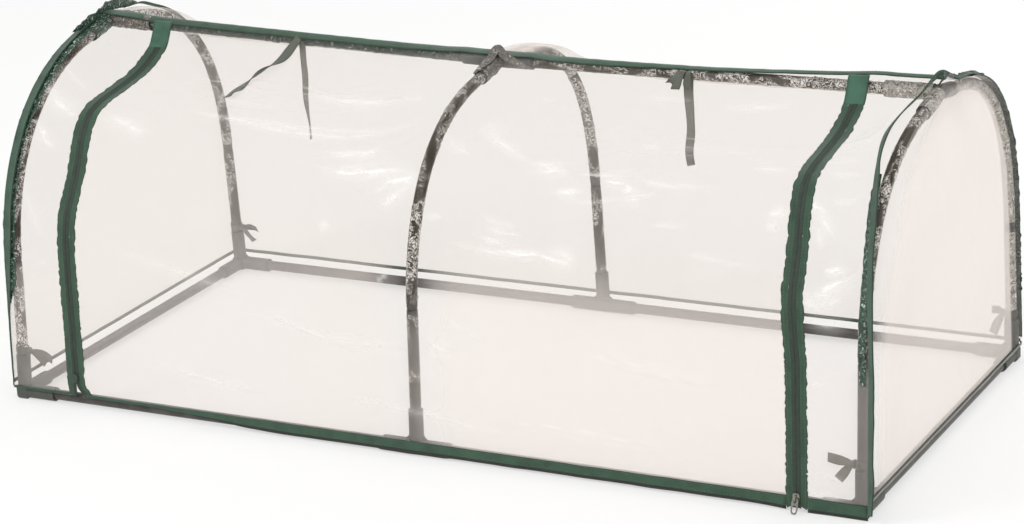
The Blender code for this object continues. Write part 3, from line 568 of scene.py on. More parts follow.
def wovenCloth(name, body, edge, threadSize):
    # woven polypropylene tape: crossing threads, and folded edges that read darker
    made, tree, shader = newMaterial(name)
    uv = addNode(tree, "ShaderNodeUVMap", {"uv_map": "UVMap"}).outputs["UV"]
    warp, weft = (addNode(tree, "ShaderNodeTexWave", {"bands_direction": axis}, {
        "Vector": uv, "Scale": 0.5 / threadSize, "Distortion": 0.4, "Detail": 1.0}).outputs["Fac"]
        for axis in "XY")
    weave = maths(tree, "MAXIMUM", warp, weft)
    mixed = maths(tree, "MULTIPLY_ADD", weave, 0.35, noiseValue(tree, 45.0, 5.0))
    tone = toneOf(tree, mixed, (0.30, edge), (0.85, body))
    fold = mapped(tree, attributeValue(tree, "edge"), 0.0, 0.75, 0.72)
    shade = addNode(tree, "ShaderNodeMix", {"data_type": "RGBA"},
                    {0: fold, 6: tone, 7: hexColour(edge)})
    dress(tree, shader, {
        "Base Color": shade.outputs[2], "Normal": bumpFrom(tree, weave, 0.5, threadSize / 3),
        "Roughness": 0.75, "Sheen Weight": 0.25, "Sheen Roughness": 0.4})
    return made


def clearVinyl(name, clearTint, haze, paintedGlintGain, roughness=0.09, glintLines=0.0):
    # calendered clear PVC film: faintly warm, sharp gloss, painted highlight on the lit side of its
    # folds, milky where it hangs clear of what is behind it; the thin lines are painted glints on
    # crumpled film
    made, tree, shader = newMaterial(name)
    dress(tree, shader, {"Base Color": hexColour("#FBF9F6"), "Roughness": roughness, "IOR": 1.53})
    clear = addNode(tree, "ShaderNodeBsdfTransparent", links={"Color": hexColour(clearTint)})
    tilt = addNode(tree, "ShaderNodeLayerWeight", links={"Blend": 0.5})
    mirror = maths(tree, "MULTIPLY_ADD", maths(tree, "POWER", tilt.outputs["Facing"], 4.0), 0.12, 0.004)
    patchy = mapped(tree, noiseValue(tree, 14.0, 6.0, 0.6), 0.0, haze, 0.45, 0.75)
    crease = attributeValue(tree, "crease")
    whitened = maths(tree, "MULTIPLY_ADD", crease, paintedGlintGain, patchy, clamp=True)
    total = maths(tree, "ADD", whitened, mirror, clamp=True)
    if glintLines:
        folds = maths(tree, "SUBTRACT", noiseValue(tree, 150.0, 3.0, distortion=1.6), 0.5)
        line = mapped(tree, maths(tree, "ABSOLUTE", folds), glintLines, 0.0, 0.012, 0.050)
        total = maths(tree, "MULTIPLY_ADD", line, attributeValue(tree, "crumple"), total, clamp=True)
    tint = hexColour("#FCF5F1")
    front, through = (addNode(tree, kind, links={"Color": tint}).outputs[0]
                      for kind in ("ShaderNodeBsdfDiffuse", "ShaderNodeBsdfTranslucent"))
    veil = mixedShader(tree, 0.5, front, through)
    hazed = mixedShader(tree, attributeValue(tree, "haze"), clear.outputs[0], veil)
    dress(tree, tree.nodes["Material Output"], {
        "Surface": mixedShader(tree, total, hazed, shader.outputs[0])})
    return made


def crumpledFilm(name, dark, middle, light):
    # film and seam gathered into sharp little folds: painted shade for the dark hollows, grey flats,
    # painted white glints
    made, tree, shader = newMaterial(name)
    folds = noiseValue(tree, 170.0, 4.0, 0.62, 1.6)
    tone = toneOf(tree, folds, (0.38, dark), (0.47, middle), (0.57, middle), (0.66, light))
    dress(tree, shader, {"Base Color": tone, "Normal": bumpFrom(tree, folds, 0.7, 0.002),
                         "Roughness": 0.22})
    return made


# powder-coated steel tube, moulded nylon, nylon coil, plated and lacquered zinc, sewing thread
steelLook = mottledLook("powderCoatedSteelTube", 55.0, 4.0, (0.35, "#34312E"), (0.70, "#524E49"),
                        (0.30, 0.48), (900.0, 0.08))
nylonLook = mottledLook("mouldedGreyNylon", 90.0, 3.0, (0.0, "#3B3D39"), (1.0, "#53554F"), 0.5,
                        (1600.0, 0.15))
coilLook = mottledLook("darkNylonCoil", 160.0, 3.0, (0.0, "#202B20"), (1.0, "#344539"), 0.62)
nickelLook = mottledLook("nickelPlatedZinc", 420.0, 4.0, (0.0, "#6B6962"), (1.0, "#A5A39C"),
                         (0.20, 0.40), metallic=1.0)
darkZincLook = mottledLook("darkLacqueredZinc", 420.0, 4.0, (0.0, "#2C362F"), (1.0, "#45524A"),
                           (0.32, 0.52), metallic=0.3)
threadLook = mottledLook("greenSewingThread", 1300.0, 2.0, (0.0, "#3E6450"), (1.0, "#5E8670"), 0.6)
bindingLook = wovenCloth("greenWovenBinding", "#456E59", "#1F3B2E", 0.0010)
seamLook = wovenCloth("greenSeamTape", "#3B5945", "#1A2E23", 0.0010)
# a dark strip below the hem for the front rail's underside: the rail's dark colour and painted shade
railAndShadeStripLook = wovenCloth("darkHemLining", "#33352F", "#1E201C", 0.0010)
zipTapeLook = wovenCloth("greenZipTape", "#38543F", "#1C3126", 0.0008)
ribbonLook = wovenCloth("greyGreenRibbon", "#5F6358", "#393D34", 0.0008)
filmLook = clearVinyl("clearVinylFilm", "#FBFAF9", 0.012, 0.62)
sleeveLook = clearVinyl("thinPlasticSleeve", "#F2F0EC", 0.02, 0.30, 0.12, 0.95)
# crumpled films: the dark stop of each is painted shade and the light stop a painted glint
greenCrumple = crumpledFilm("crumpledSeamAllowance", "#15241D", "#33503F", "#C9D3CC")
darkCrumple = crumpledFilm("crumpledSeamShade", "#0F1814", "#24372D", "#8D978F")
greyCrumple = crumpledFilm("crumpledSleeveFilm", "#2B2925", "#66625B", "#CFCBC5")
paleCrumple = crumpledFilm("paleCrumpledFilm", "#4F4C45", "#A9A69F", "#F4F3F0")
print("materials made")

# ---- the frame: crown sockets keep their CAD shape, base sockets show smaller webs, and the
# tubes are swept rounder

webs = {"near": 0.0240, "far": 0.0285, "shown": 0.0150, "thick": 0.0030, "wide": 0.0115}


def trimmedSocket(node, name):
    # the corner webs of the base sockets show smaller on the real part than on the solids
    first, *words = name.split("_")
    centre = Vector((ends.get(words[-1], 0) * tunnel["halfLength"],
                     tunnel["halfDepth"] * (1 if "rear" in name else -1), tunnel["railHeight"]))
    data = node.data.copy()
    data.transform(node.matrix_world)
    for vert in data.vertices:
        spot = vert.co - centre
        for axis in range(3):
            beside = sorted(abs(spot[i]) for i in range(3) if i != axis)
            if (webs["near"] < abs(spot[axis]) < webs["far"] and beside[0] < webs["thick"]
                    and beside[1] < webs["wide"]):
                spot[axis] = math.copysign(webs["shown"], spot[axis])
                vert.co = spot + centre
                break
    newPiece(first + titled(*words), data, "frame", nylonLook, [name])


for name, node in list(nodes.items()):
    if "crown_socket" in name:
        node.data.materials.clear()
        node.data.materials.append(nylonLook)
    elif "socket" in name:
        trimmedSocket(node, name)

tubes = {"radius": 0.0070, "sides": 28, "stop": 0.0123, "joint": 0.0003, "taper": 0.0040,
         "swage": 0.0059}


def inHoop(x, side, point):
    return np.array((x, side * point[0], point[1]))


def bowLine(x, side, shares):
    return resample([inHoop(x, side, point) for point in hoopPath(dipAt(x), side)[1:]], shares)


def ridgeLine(end):
    # from an end hoop's crown to the middle one's
    return np.array([(x, 0, ridgeTubeHeight(x)) for x in (end * tunnel["halfLength"], 0)])


def sweptTube(name, points, girths, node):
    data = runTree(tubeSweep, name, [points], {
        "Radius": tubes["radius"], "Sides": tubes["sides"], "Material": steelLook},
        {"girth": [girths]})
    outwardFaces(data, merged=True)
    data.shade_smooth()
    data.set_sharp_from_angle(angle=math.radians(40))
    return newPiece(name, data, "frame", steelLook, [node])


def straightTube(name, start, stop, node):
    start, stop = np.array(start), np.array(stop)
    sweptTube(name, [start + (stop - start) * share for share in (0, 0.5, 1)], [1, 1, 1], node)


def frameTubes():
    stop, z = tubes["stop"], tunnel["railHeight"]
    for place, x in hoopPlaces.items():
        for sideName, side in sideNames.items():
            path = hoopPath(dipAt(x), side)
            up = unit(path[1] - path[0])
            label = titled(sideName, place)
            spring = path[1]
            straightTube(f"leg{label}", inHoop(x, side, path[0] + up * stop),
                         inHoop(x, side, spring), f"leg_{sideName}_{place}")
            crown = path[-1] + unit(path[-2] - path[-1]) * stop
            shoulder = spring + up * tubes["joint"]
            thin = tubes["swage"] / tubes["radius"]
            line = [shoulder, shoulder + up * tubes["taper"] * 0.5, shoulder + up * tubes["taper"]]
            line += list(path[2:-1]) + [crown]
            girths = [thin, (1 + thin) / 2 + 0.02, 1] + [1] * (len(line) - 3)
            sweptTube(f"bow{label}", [inHoop(x, side, point) for point in line], girths,
                      f"bow_{sideName}_{place}")
    for endName, end in ends.items():
        x, reach = end * tunnel["halfLength"], tunnel["halfDepth"] - stop
        for sideName, side in sideNames.items():
            y = side * tunnel["halfDepth"]
            straightTube(f"rail{titled(sideName, endName)}", (end * stop, y, z),
                         (end * (tunnel["halfLength"] - stop), y, z), f"rail_{sideName}_{endName}")
        straightTube(f"endRail{titled(endName)}", (x, -reach, z), (x, reach, z), f"end_rail_{endName}")
        outer, inner = ridgeLine(end)
        along = unit(inner - outer) * stop
        straightTube(f"ridgeTube{titled(endName)}", outer + along, inner - along,
                     f"ridge_tube_{endName}")


frameTubes()
print("frame tubes swept")

# ---- crinkled plastic sleeves over the hoops and the ridge tubes

sleeves = {"gap": 0.0003, "thickness": 0.00012, "ringStep": 0.0013, "sides": 24,
           "crinkle": {"bows": 0.0009, "ridge": 0.0012}}
# how crumpled each sleeve is, from its start to its end, at shares of its length
crumpling = {
    "FrontLeft": ((0, 0.9), (0.3, 0.9), (0.6, 1.0), (0.75, 0.3), (0.9, 0.3), (1, 0.8)),
    "FrontMiddle": ((0, 0.15), (0.12, 1.0), (0.3, 0.9), (0.42, 0.3), (0.6, 0.6), (0.75, 0.4), (1, 0.7)),
    "FrontRight": ((0, 0.3), (0.3, 0.8), (0.55, 1.0), (0.8, 0.7), (1, 0.9)),
    "RearLeft": ((0, 0.6), (0.3, 0.7), (0.6, 1.0), (1, 1.0)),
    "RearMiddle": ((0, 0.5), (0.3, 0.9), (0.6, 0.9), (1, 0.4)),
    "RearRight": ((0, 0.8), (0.4, 1.0), (1, 1.0)),
    "RidgeLeft": ((0, 1.0), (0.2, 0.5), (0.7, 0.4), (1, 0.6)),
    "RidgeRight": ((0, 1.0), (0.25, 1.0), (0.6, 0.8), (1, 0.5)),
}


def sleeveAlong(name, line, crinkle, seed, look=None, swellBy=0.0, crumpled=1.0):
    # thin film tube, gathered along its length so that it crinkles across
    line = np.asarray(line, float)
    length = np.linalg.norm(np.diff(line, axis=0), axis=1).sum()
    count = max(int(length / sleeves["ringStep"]), 8)
    spots = resample(line, np.linspace(0, 1, count))
    along = unit(np.gradient(spots, axis=0))
    first = unit(np.cross(along, (1, 0, 0) if abs(along[0][0]) < 0.7 else (0, 1, 0)))
    second = np.cross(along, first)
    turns = np.linspace(0, 2 * math.pi, sleeves["sides"], endpoint=False)
    radius = np.zeros((count, sleeves["sides"]))
    patches = np.zeros_like(radius)
    runs = np.linspace(0, length, count)
    for i, run in enumerate(runs):
        for j, turn in enumerate(turns):
            wrapX, wrapY = math.cos(turn), math.sin(turn)
            spot = Vector((run * 240 + wrapX * 1.3, wrapX * 1.1, wrapY * 1.1 + seed * 9))
            broad = noise.noise(Vector((run * 42, wrapX * 0.7 + seed, wrapY * 0.7)))
            radius[i, j] = max(noise.noise(spot), 0) * 1.8 * (0.6 + broad)
            patches[i, j] = broad
    radius = np.clip(radius, 0, 1.4)
    fade = np.minimum(np.minimum(runs, length - runs) / 0.006, 1)
    swell = radius * fade[:, None]
    slope = np.hypot(*np.gradient(swell))
    share = runs / length
    if isinstance(crumpled, tuple):
        crumpled = tableAt(crumpled, share)
    amount = np.broadcast_to(crumpled, share.shape)[:, None]
    base = tubes["radius"] + sleeves["gap"] + sleeves["thickness"] + swellBy
    ring = (first[:, None] * np.cos(turns)[None, :, None]
            + second[:, None] * np.sin(turns)[None, :, None])
    outer = spots[:, None] + ring * (base + swell * crinkle)[..., None]
    inner = outer - ring * sleeves["thickness"]
    index, skin = ringFaces(count, sleeves["sides"])
    after, total = np.roll(index, -1, axis=1), index.size
    rims = np.concatenate([np.stack([index[0], index[0] + total, after[0] + total, after[0]], 1),
                           np.stack([after[-1], after[-1] + total, index[-1] + total, index[-1]], 1)])
    faces = np.concatenate([skin, skin[:, ::-1] + total, rims])
    uv = np.stack([np.broadcast_to(runs[:, None], radius.shape),
                   np.broadcast_to(turns * 0.007, radius.shape)], -1).reshape(-1, 2)
    # painted glints on the steep sides of the crinkles, as far as the sleeve is crumpled
    crease = (smooth((slope - 0.22) / 0.3) * amount).ravel()
    crumple = (smooth((patches + 0.36 * amount) / 0.25) * amount).ravel()
    data = meshFrom(name, np.concatenate([outer.reshape(-1, 3), inner.reshape(-1, 3)]), faces.tolist(),
                    np.concatenate([uv, uv]), {"crease": np.concatenate([crease, crease]),
                                               "crumple": np.concatenate([crumple, crumple])})
    outwardFaces(data)
    return newPiece(name, data, "frame", look or sleeveLook, ())


# the same for the legs, from above the socket to the bow
legCrumpling = {
    "FrontLeft": ((0, 1.0), (1, 1.0)),
    "FrontMiddle": ((0, 0.1), (0.25, 0.1), (0.32, 1.0), (0.42, 0.1), (0.72, 0.1), (0.80, 1.0),
                    (1, 0.8)),
    "RearLeft": ((0, 0.2), (0.4, 0.8), (1, 0.7)),
    "RearMiddle": ((0, 1.0), (0.3, 0.4), (0.6, 0.9), (1, 0.6)),
    "RearRight": ((0, 0.6), (1, 1.0)),
}


def frameSleeves():
    seed, crinkle = 1, sleeves["crinkle"]
    for place, x in hoopPlaces.items():
        for sideName, side in sideNames.items():
            label = titled(sideName, place)
            look = paleCrumple if label == "RearRight" else None
            if label in legCrumpling:
                leg = [inHoop(x, side, point) for point in hoopPath(dipAt(x), side)[:2]]
                sleeveAlong(f"legSleeve{label}", resample(leg, np.linspace(0.31, 0.97, 40)),
                            crinkle["bows"] * 0.7, seed + 50, look, crumpled=legCrumpling[label])
            sleeveAlong(f"sleeve{label}", bowLine(x, side, np.linspace(0.02, 0.88, 80)),
                        crinkle["bows"], seed, look, crumpled=crumpling[label])
            seed += 1
    for endName, end in ends.items():
        label = titled("ridge", endName)
        sleeveAlong(f"sleeve{label}", resample(ridgeLine(end), np.linspace(0.09, 0.91, 40)),
                    crinkle["ridge"], seed, darkCrumple if end < 0 else None,
                    crumpled=crumpling[label])
        seed += 1


def crownWraps():
    # the film is gathered over each crown socket, and at the middle it folds over the ridge seam
    for label, x, side, reach, count, seed, swell, look in (
            ("Left", -0.6, -1, 0.88, 20, 28, 0.0022, greenCrumple),
            ("Middle", 0, -1, 0.87, 20, 31, 0.0022, greyCrumple),
            ("Right", 0.6, -1, 0.86, 20, 34, 0.0022, paleCrumple),
            ("Rear", 0, 1, 0.80, 24, 36, 0.0020, paleCrumple)):
        sleeveAlong(f"crownWrap{label}", bowLine(x, side, np.linspace(reach, 0.985, count)), 0.0012,
                    seed, look, swell)
    for endName, look in (("left", greyCrumple), ("right", paleCrumple)):
        line = resample(ridgeLine(ends[endName]), np.linspace(0.01, 0.115, 16))
        sleeveAlong(f"ridgeWrap{titled(endName)}", line, 0.0018, 41 + ends[endName], look, 0.0029)
    top = ridgeHeight(0)
    fold = [onCover(0, down, -1) + 0.0024 * onCover(0, down, -1, "out") for down in (0.17, 0.11, 0.06)]
    fold = smoothPath(fold + [(0.001, -0.0050, top + 0.0062), (0.013, -0.0110, top + 0.0008),
                              (0.031, -0.0130, top - 0.0070), (0.051, -0.0138, top - 0.0145)], 6)
    halves = tableAt(((0, 0.0006), (0.25, 0.0052), (0.5, 0.0058), (0.75, 0.0056), (1, 0.0010)),
                     np.linspace(0, 1, len(fold)))
    along = unit(np.gradient(fold, axis=0))
    outs = unit(np.cross(along, np.cross((0.2, -0.75, 0.65), along)))
    sideways = np.cross(along, outs)
    lift = np.array([nudge(point, 150, 5) for point in fold])[:, None] * 0.0012
    data = bandMesh("crownFold", fold + outs * lift, sideways, outs, halves, 0.0012)
    newPiece("crownFold", data, "frame", greyCrumple, ())


frameSleeves()
crownWraps()
print("sleeves made")

# ---- the clear film

film = {
    "thickness": 0.00035,
    "edge": 0.0095,           # how far under the zip tapes the film runs
    "ridgeEdge": 0.0020,      # and under the ridge binding
    "bandRelease": 0.012,     # beside a sewn edge the film lies flat over this stretch
    "topHold": 0.008,         # and it is held flat this far from the ridge
}
# Families of long soft creases: x and distance down from the ridge, how far they spread in
# both, direction in degrees from the ridge line and its sway, count, length, width, height
creaseFamilies = {
    "front": (
        (-0.285, 0.105, 0.10, 0.045, 3, 9, 9, 0.16, 0.006, 0.0032),
        (-0.20, 0.22, 0.13, 0.06, -2, 8, 10, 0.15, 0.007, 0.0030),
        (-0.14, 0.12, 0.07, 0.06, -14, 10, 8, 0.11, 0.005, 0.0026),
        (-0.06, 0.30, 0.05, 0.10, -35, 22, 12, 0.05, 0.004, 0.0022),
        (0.10, 0.14, 0.09, 0.06, 26, 14, 10, 0.09, 0.005, 0.0026),
        (0.22, 0.20, 0.12, 0.09, -6, 12, 12, 0.12, 0.006, 0.0028),
        (0.38, 0.20, 0.08, 0.10, 4, 8, 10, 0.10, 0.005, 0.0022),
        (-0.42, 0.20, 0.05, 0.06, 20, 10, 6, 0.11, 0.006, 0.0026),
        (0.0, 0.42, 0.40, 0.10, 20, 60, 16, 0.05, 0.005, 0.0012),
    ),
    "rear": (
        (-0.3, 0.16, 0.2, 0.08, 4, 12, 14, 0.13, 0.007, 0.0026),
        (0.3, 0.16, 0.2, 0.08, -4, 12, 14, 0.13, 0.007, 0.0026),
        (0.0, 0.38, 0.5, 0.12, 0, 50, 18, 0.06, 0.006, 0.0014),
    ),
    "strip": (
        (0.0, 0.16, 0.04, 0.14, 16, 14, 18, 0.05, 0.0035, 0.0016),
        (0.0, 0.42, 0.04, 0.12, -20, 24, 12, 0.05, 0.004, 0.0014),
    ),
    "end": (
        (0.0, 0.36, 0.20, 0.06, 5, 30, 10, 0.08, 0.007, 0.0010),
        (0.0, 0.12, 0.22, 0.08, 0, 60, 8, 0.09, 0.008, 0.0010),
    ),
}

# The folds that the photograph shows: x and distance down from the ridge, direction in
# degrees from the ridge line, half length, half width, sag and the whiteness of its painted highlight
photoFolds = {
    "door": (
        (-0.265, 0.202, 4, 0.120, 0.0026, 0.004, 0.85), (-0.180, 0.205, -2, 0.165, 0.0026, 0.034, 0.80),
        (-0.170, 0.196, -1, 0.155, 0.0024, 0.012, 0.60), (-0.135, 0.128, 8, 0.110, 0.0062, 0.003, 0.90),
        (-0.200, 0.118, 6, 0.070, 0.0030, 0.002, 0.45), (-0.085, 0.255, -6, 0.065, 0.0042, 0.003, 0.75),
        (-0.034, 0.266, -12, 0.030, 0.0070, 0.001, 0.70),
        (-0.036, 0.292, -35, 0.018, 0.0034, 0.001, 0.80),
        (-0.100, 0.235, -4, 0.055, 0.0050, 0.002, 0.35),
        (-0.125, 0.330, 10, 0.012, 0.0050, 0.000, 0.40),
        (-0.448, 0.233, 13, 0.045, 0.0056, 0.001, 0.65), (-0.300, 0.150, 8, 0.060, 0.0060, 0.002, 0.30),
        (0.040, 0.212, 24, 0.026, 0.0040, 0.001, 0.50), (0.098, 0.197, 27, 0.050, 0.0034, -0.003, 0.85),
        (0.075, 0.176, 40, 0.016, 0.0060, 0.001, 0.55), (0.170, 0.229, 16, 0.036, 0.0036, 0.002, 0.80),
        (0.202, 0.261, -4, 0.022, 0.0030, 0.001, 0.60), (0.118, 0.300, 12, 0.026, 0.0030, 0.001, 0.60),
        (0.122, 0.311, 7, 0.030, 0.0024, 0.001, 0.70), (0.118, 0.323, 4, 0.034, 0.0026, 0.001, 0.70),
        (0.130, 0.337, 3, 0.080, 0.0030, 0.002, 0.75), (0.205, 0.345, 8, 0.026, 0.0056, 0.001, 0.85),
        (0.280, 0.160, 22, 0.020, 0.0034, 0.001, 0.75), (0.255, 0.047, 0, 0.030, 0.0026, 0.000, 0.60),
        (0.375, 0.054, -4, 0.050, 0.0030, 0.002, 0.80), (0.265, 0.243, -5, 0.020, 0.0024, 0.000, 0.80),
        (0.288, 0.257, 56, 0.022, 0.0034, 0.001, 0.70), (0.345, 0.240, 2, 0.060, 0.0026, 0.003, 0.40),
        (0.455, 0.206, -4, 0.028, 0.0034, 0.001, 0.60), (0.480, 0.270, -10, 0.016, 0.0036, 0.001, 0.90),
        (0.474, 0.284, -40, 0.010, 0.0030, 0.001, 0.80), (0.360, 0.165, 4, 0.070, 0.0040, 0.002, 0.28),
        (0.028, 0.306, -8, 0.014, 0.0022, 0.000, 0.85), (0.420, 0.330, 6, 0.060, 0.0060, 0.002, 0.25),
        (-0.330, 0.420, 9, 0.120, 0.0050, 0.004, 0.30), (-0.120, 0.470, 5, 0.140, 0.0040, 0.004, 0.28),
        (0.020, 0.560, 4, 0.110, 0.0036, 0.003, 0.40), (0.250, 0.560, 3, 0.120, 0.0036, 0.003, 0.35),
        (0.330, 0.470, 8, 0.090, 0.0060, 0.002, 0.25), (-0.300, 0.560, 6, 0.100, 0.0034, 0.003, 0.35),
        (0.045, 0.470, 4, 0.020, 0.0050, 0.001, 0.60), (0.080, 0.440, 20, 0.026, 0.0040, 0.001, 0.30),
    ),
    "stripLeft": (
        (-0.562, 0.206, 34, 0.046, 0.0056, 0.003, 0.80),
        (-0.568, 0.256, 48, 0.030, 0.0034, 0.002, 0.60),
        (-0.560, 0.160, 30, 0.026, 0.0030, 0.001, 0.45),
        (-0.565, 0.360, 60, 0.040, 0.0040, 0.002, 0.30),
    ),
    "stripRight": (
        (0.540, 0.270, 46, 0.022, 0.0036, 0.001, 0.90), (0.532, 0.258, 10, 0.014, 0.0030, 0.001, 0.80),
        (0.536, 0.290, 75, 0.014, 0.0026, 0.001, 0.80), (0.562, 0.325, -16, 0.018, 0.0044, 0.001, 0.80),
        (0.556, 0.350, -24, 0.040, 0.0050, 0.002, 0.80),
        (0.548, 0.364, -20, 0.034, 0.0064, 0.002, 0.95),
        (0.570, 0.338, -34, 0.026, 0.0026, 0.001, 0.60), (0.560, 0.386, -8, 0.030, 0.0050, 0.001, 0.55),
        (0.545, 0.100, -12, 0.034, 0.0030, 0.002, 0.60),
        (0.545, 0.122, -14, 0.034, 0.0026, 0.002, 0.55),
        (0.548, 0.145, -16, 0.030, 0.0028, 0.002, 0.50),
        (0.540, 0.180, -10, 0.026, 0.0034, 0.001, 0.45),
        (0.545, 0.205, -14, 0.026, 0.0026, 0.001, 0.55),
        (0.560, 0.240, -20, 0.020, 0.0030, 0.001, 0.40),
        (0.555, 0.600, -4, 0.028, 0.0040, 0.001, 0.90), (0.560, 0.575, 4, 0.026, 0.0030, 0.001, 0.40),
    ),
}


def seenFrom(u, v, atU, atV, turn, length):
    # places seen from a fold: along it, in shares of its length, and across it
    turn = math.radians(turn)
    du, dv = u - atU, v - atV
    return ((du * math.cos(turn) + dv * math.sin(turn)) / length,
            -du * math.sin(turn) + dv * math.cos(turn))


# each fold lifts the film a little and gets a painted highlight along it, broken into streaks, with a
# faint painted halo
def foldsAt(u, v, folds):
    heights, paintedFoldHighlights = np.zeros_like(u), np.zeros_like(u)
    for number, (atU, atV, turn, length, width, sag, white) in enumerate(folds):
        along, across = seenFrom(u, v, atU, atV, turn, length)
        across = across + sag * (along * along - 0.3)
        taper = np.clip(1 - along * along, 0, 1)
        spread = width * (0.35 + 0.65 * taper)
        profile = taper ** 1.2 * np.exp(-(across / spread) ** 2)
        streaks = np.sin(across / width * 4.2 + 1.6 * np.sin(along * length * 85 + number))
        broken = 0.78 + 0.22 * np.sin(along * length * 140 + number * 2.1)
        halo = taper * np.exp(-(across / (spread * 2.6)) ** 2) * 0.26 * white
        heights += profile * width * 0.26
        paintedFoldHighlights = np.maximum(paintedFoldHighlights, profile * broken * (0.80 + 0.20 * streaks) * white)
        paintedFoldHighlights = np.maximum(paintedFoldHighlights, halo)
    return heights, paintedFoldHighlights


def creaseHeights(u, v, families, seed, shift=0.0):
    rng = np.random.default_rng(seed)
    total = np.zeros_like(u)
    for atU, atV, spreadU, spreadV, heading, sway, count, reach, breadth, rise in families:
        for _ in range(count):
            centreU = atU + shift + rng.uniform(-1, 1) * spreadU
            centreV = atV + rng.uniform(-1, 1) * spreadV
            turn = heading + rng.uniform(-1, 1) * sway
            length = reach * rng.uniform(0.5, 1.1)
            width = breadth * rng.uniform(0.6, 1.5)
            height = rise * rng.uniform(0.4, 1.1) * rng.choice((1, 1, -0.6))
            bend = rng.uniform(-0.35, 0.35) * length
            along, across = seenFrom(u, v, centreU, centreV, turn, length)
            across = across + bend * along * along
            taper = np.clip(1 - along * along, 0, 1) ** 1.5
            total += height * taper / (1 + (across / (width * (0.3 + taper))) ** 2) ** 1.5
    return total


def gradedSteps(start, end, coarse, fine, reach):
    # steps from start to end, finer within reach of both
    places, here = [start], start
    while here < end:
        nearest = min(here - start, end - here)
        here += fine + (coarse - fine) * min(max(nearest / reach, 0), 1)
        places.append(here)
    places = np.array(places)
    return start + (places - start) * (end - start) / (places[-1] - start)


def filmGrid(side, lefts, rights, columns, downs, families, seed, crinkle, held):
    # a grid of film points with its creases. columns are shares from left to right, and held
    # gives its haze, and where it has them its folds, its dip and the shift of its creases
    down = np.broadcast_to(downs[None, :], (len(columns), len(downs)))
    x = lefts(down) + (rights(down) - lefts(down)) * columns[:, None]
    spots, out = onCover(x, down, side), onCover(x, down, side, "out")
    run = onCover(x, down, side, "run")
    heights = creaseHeights(x, run, families, seed, held.get("shift", 0.0))
    folded, paintedFoldHighlights = foldsAt(x, run, held.get("folds", ()))
    heights += folded
    heights -= held["dip"](x, down) if "dip" in held else 0
    # short ripples that run in from the sewn side edges
    inset = np.minimum(np.abs(x - lefts(down)), np.abs(rights(down) - x))
    pucker = np.zeros_like(x)
    fine = np.zeros_like(x)
    for i in range(x.shape[0]):
        for j in range(x.shape[1]):
            if inset[i, j] < 0.06:
                pucker[i, j] = noise.noise(Vector((inset[i, j] * 18, run[i, j] * 75, seed)))
            fine[i, j] = noise.noise(Vector((x[i, j] * 24, run[i, j] * 34, seed * 3.3)))
    heights += pucker * crinkle["pucker"] * np.exp(-inset / crinkle["puckerReach"])
    heights += fine * crinkle["broad"]
    # against a hoop the film is held, and only stands off it
    for hoop in hoopPlaces.values():
        near = smooth((np.abs(x - hoop) - 0.009) / 0.03)
        heights = np.where(heights < 0, heights * near, heights * (0.25 + 0.75 * near))
    for distance in (inset, run - film["topHold"], run[:, -1:] - run):
        heights = heights * smooth(distance / film["bandRelease"])
    slopes = np.gradient(heights)
    stepU = np.maximum(np.linalg.norm(np.gradient(spots, axis=0), axis=2), 1e-5)
    stepV = np.maximum(np.linalg.norm(np.gradient(spots, axis=1), axis=2), 1e-5)
    slopeU, slopeV = slopes[0] / stepU, slopes[1] / stepV
    facing = slopeU * 0.35 + slopeV      # the lamp side of a fold is the white one
    # painted highlight: the mask whitens the lamp side of each fold, the far side more faintly, and
    # takes the listed folds' painted highlights
    crease = smooth((facing - 0.14) / 0.40) * 0.75 + smooth((-facing - 0.30) / 0.5) * 0.3
    crease = np.maximum(crease, paintedFoldHighlights)
    return spots + out * heights[..., None], out, np.stack([x, run], -1), crease, held["haze"](x, down)


def filmPiece(name, body, node, grid):
    spots, out, uv, crease, haze = grid
    outer = spots + out * film["thickness"]
    data = gridShell(name, outer, out, film["thickness"], uv, {
        "crease": crease, "haze": 1 - np.sqrt(1 - np.clip(haze, 0, 0.98))})
    outwardFaces(data)
    piece = newPiece(name, data, body, filmLook, [node])
    return piece


def doorHaze(x, down):
    # milky low down and towards the right, clear where it lies on the middle hoop and the ridge
    low, right = smooth((down - 0.72) / 0.25), smooth((x + 0.35) / 0.5)
    touching = np.exp(-(x / 0.040) ** 2) * (1 - 0.5 * smooth((down - 0.95) / 0.25))
    touching = np.maximum(touching, np.exp(-(down / 0.06) ** 2))
    return (0.20 - 0.06 * right + low * (0.10 + 0.30 * right)) * (1 - touching)


def stripHaze(x, down):
    return 0.26 * smooth((down - 0.95) / 0.15)


def fromHoop(x):
    return np.min([np.abs(x - hoop) for hoop in hoopPlaces.values()], axis=0)


def rearHaze(x, down):
    milky = np.exp(-(fromHoop(x) / 0.026) ** 4) * (1 - smooth((down - 0.3) / 0.2))
    return 0.05 + 0.75 * milky * (1 - 0.75 * smooth((-0.3 - x) / 0.1))


def rearDip(x, down):
    # between the hoops the rear film hangs in below the line of the hoops
    loose = 1 - np.exp(-(fromHoop(x) / 0.04) ** 2)
    return 0.015 * loose * np.exp(-((down - 0.30) / 0.24) ** 2) * smooth(down / 0.12)


def downRows(runs, last, side=-1):
    # the rows of a film grid, from under the ridge binding to the hem
    downs = np.array([downAtRun(run, side=side) for run in runs])
    downs[0], downs[-1] = downAtRun(film["ridgeEdge"]), last
    return downs


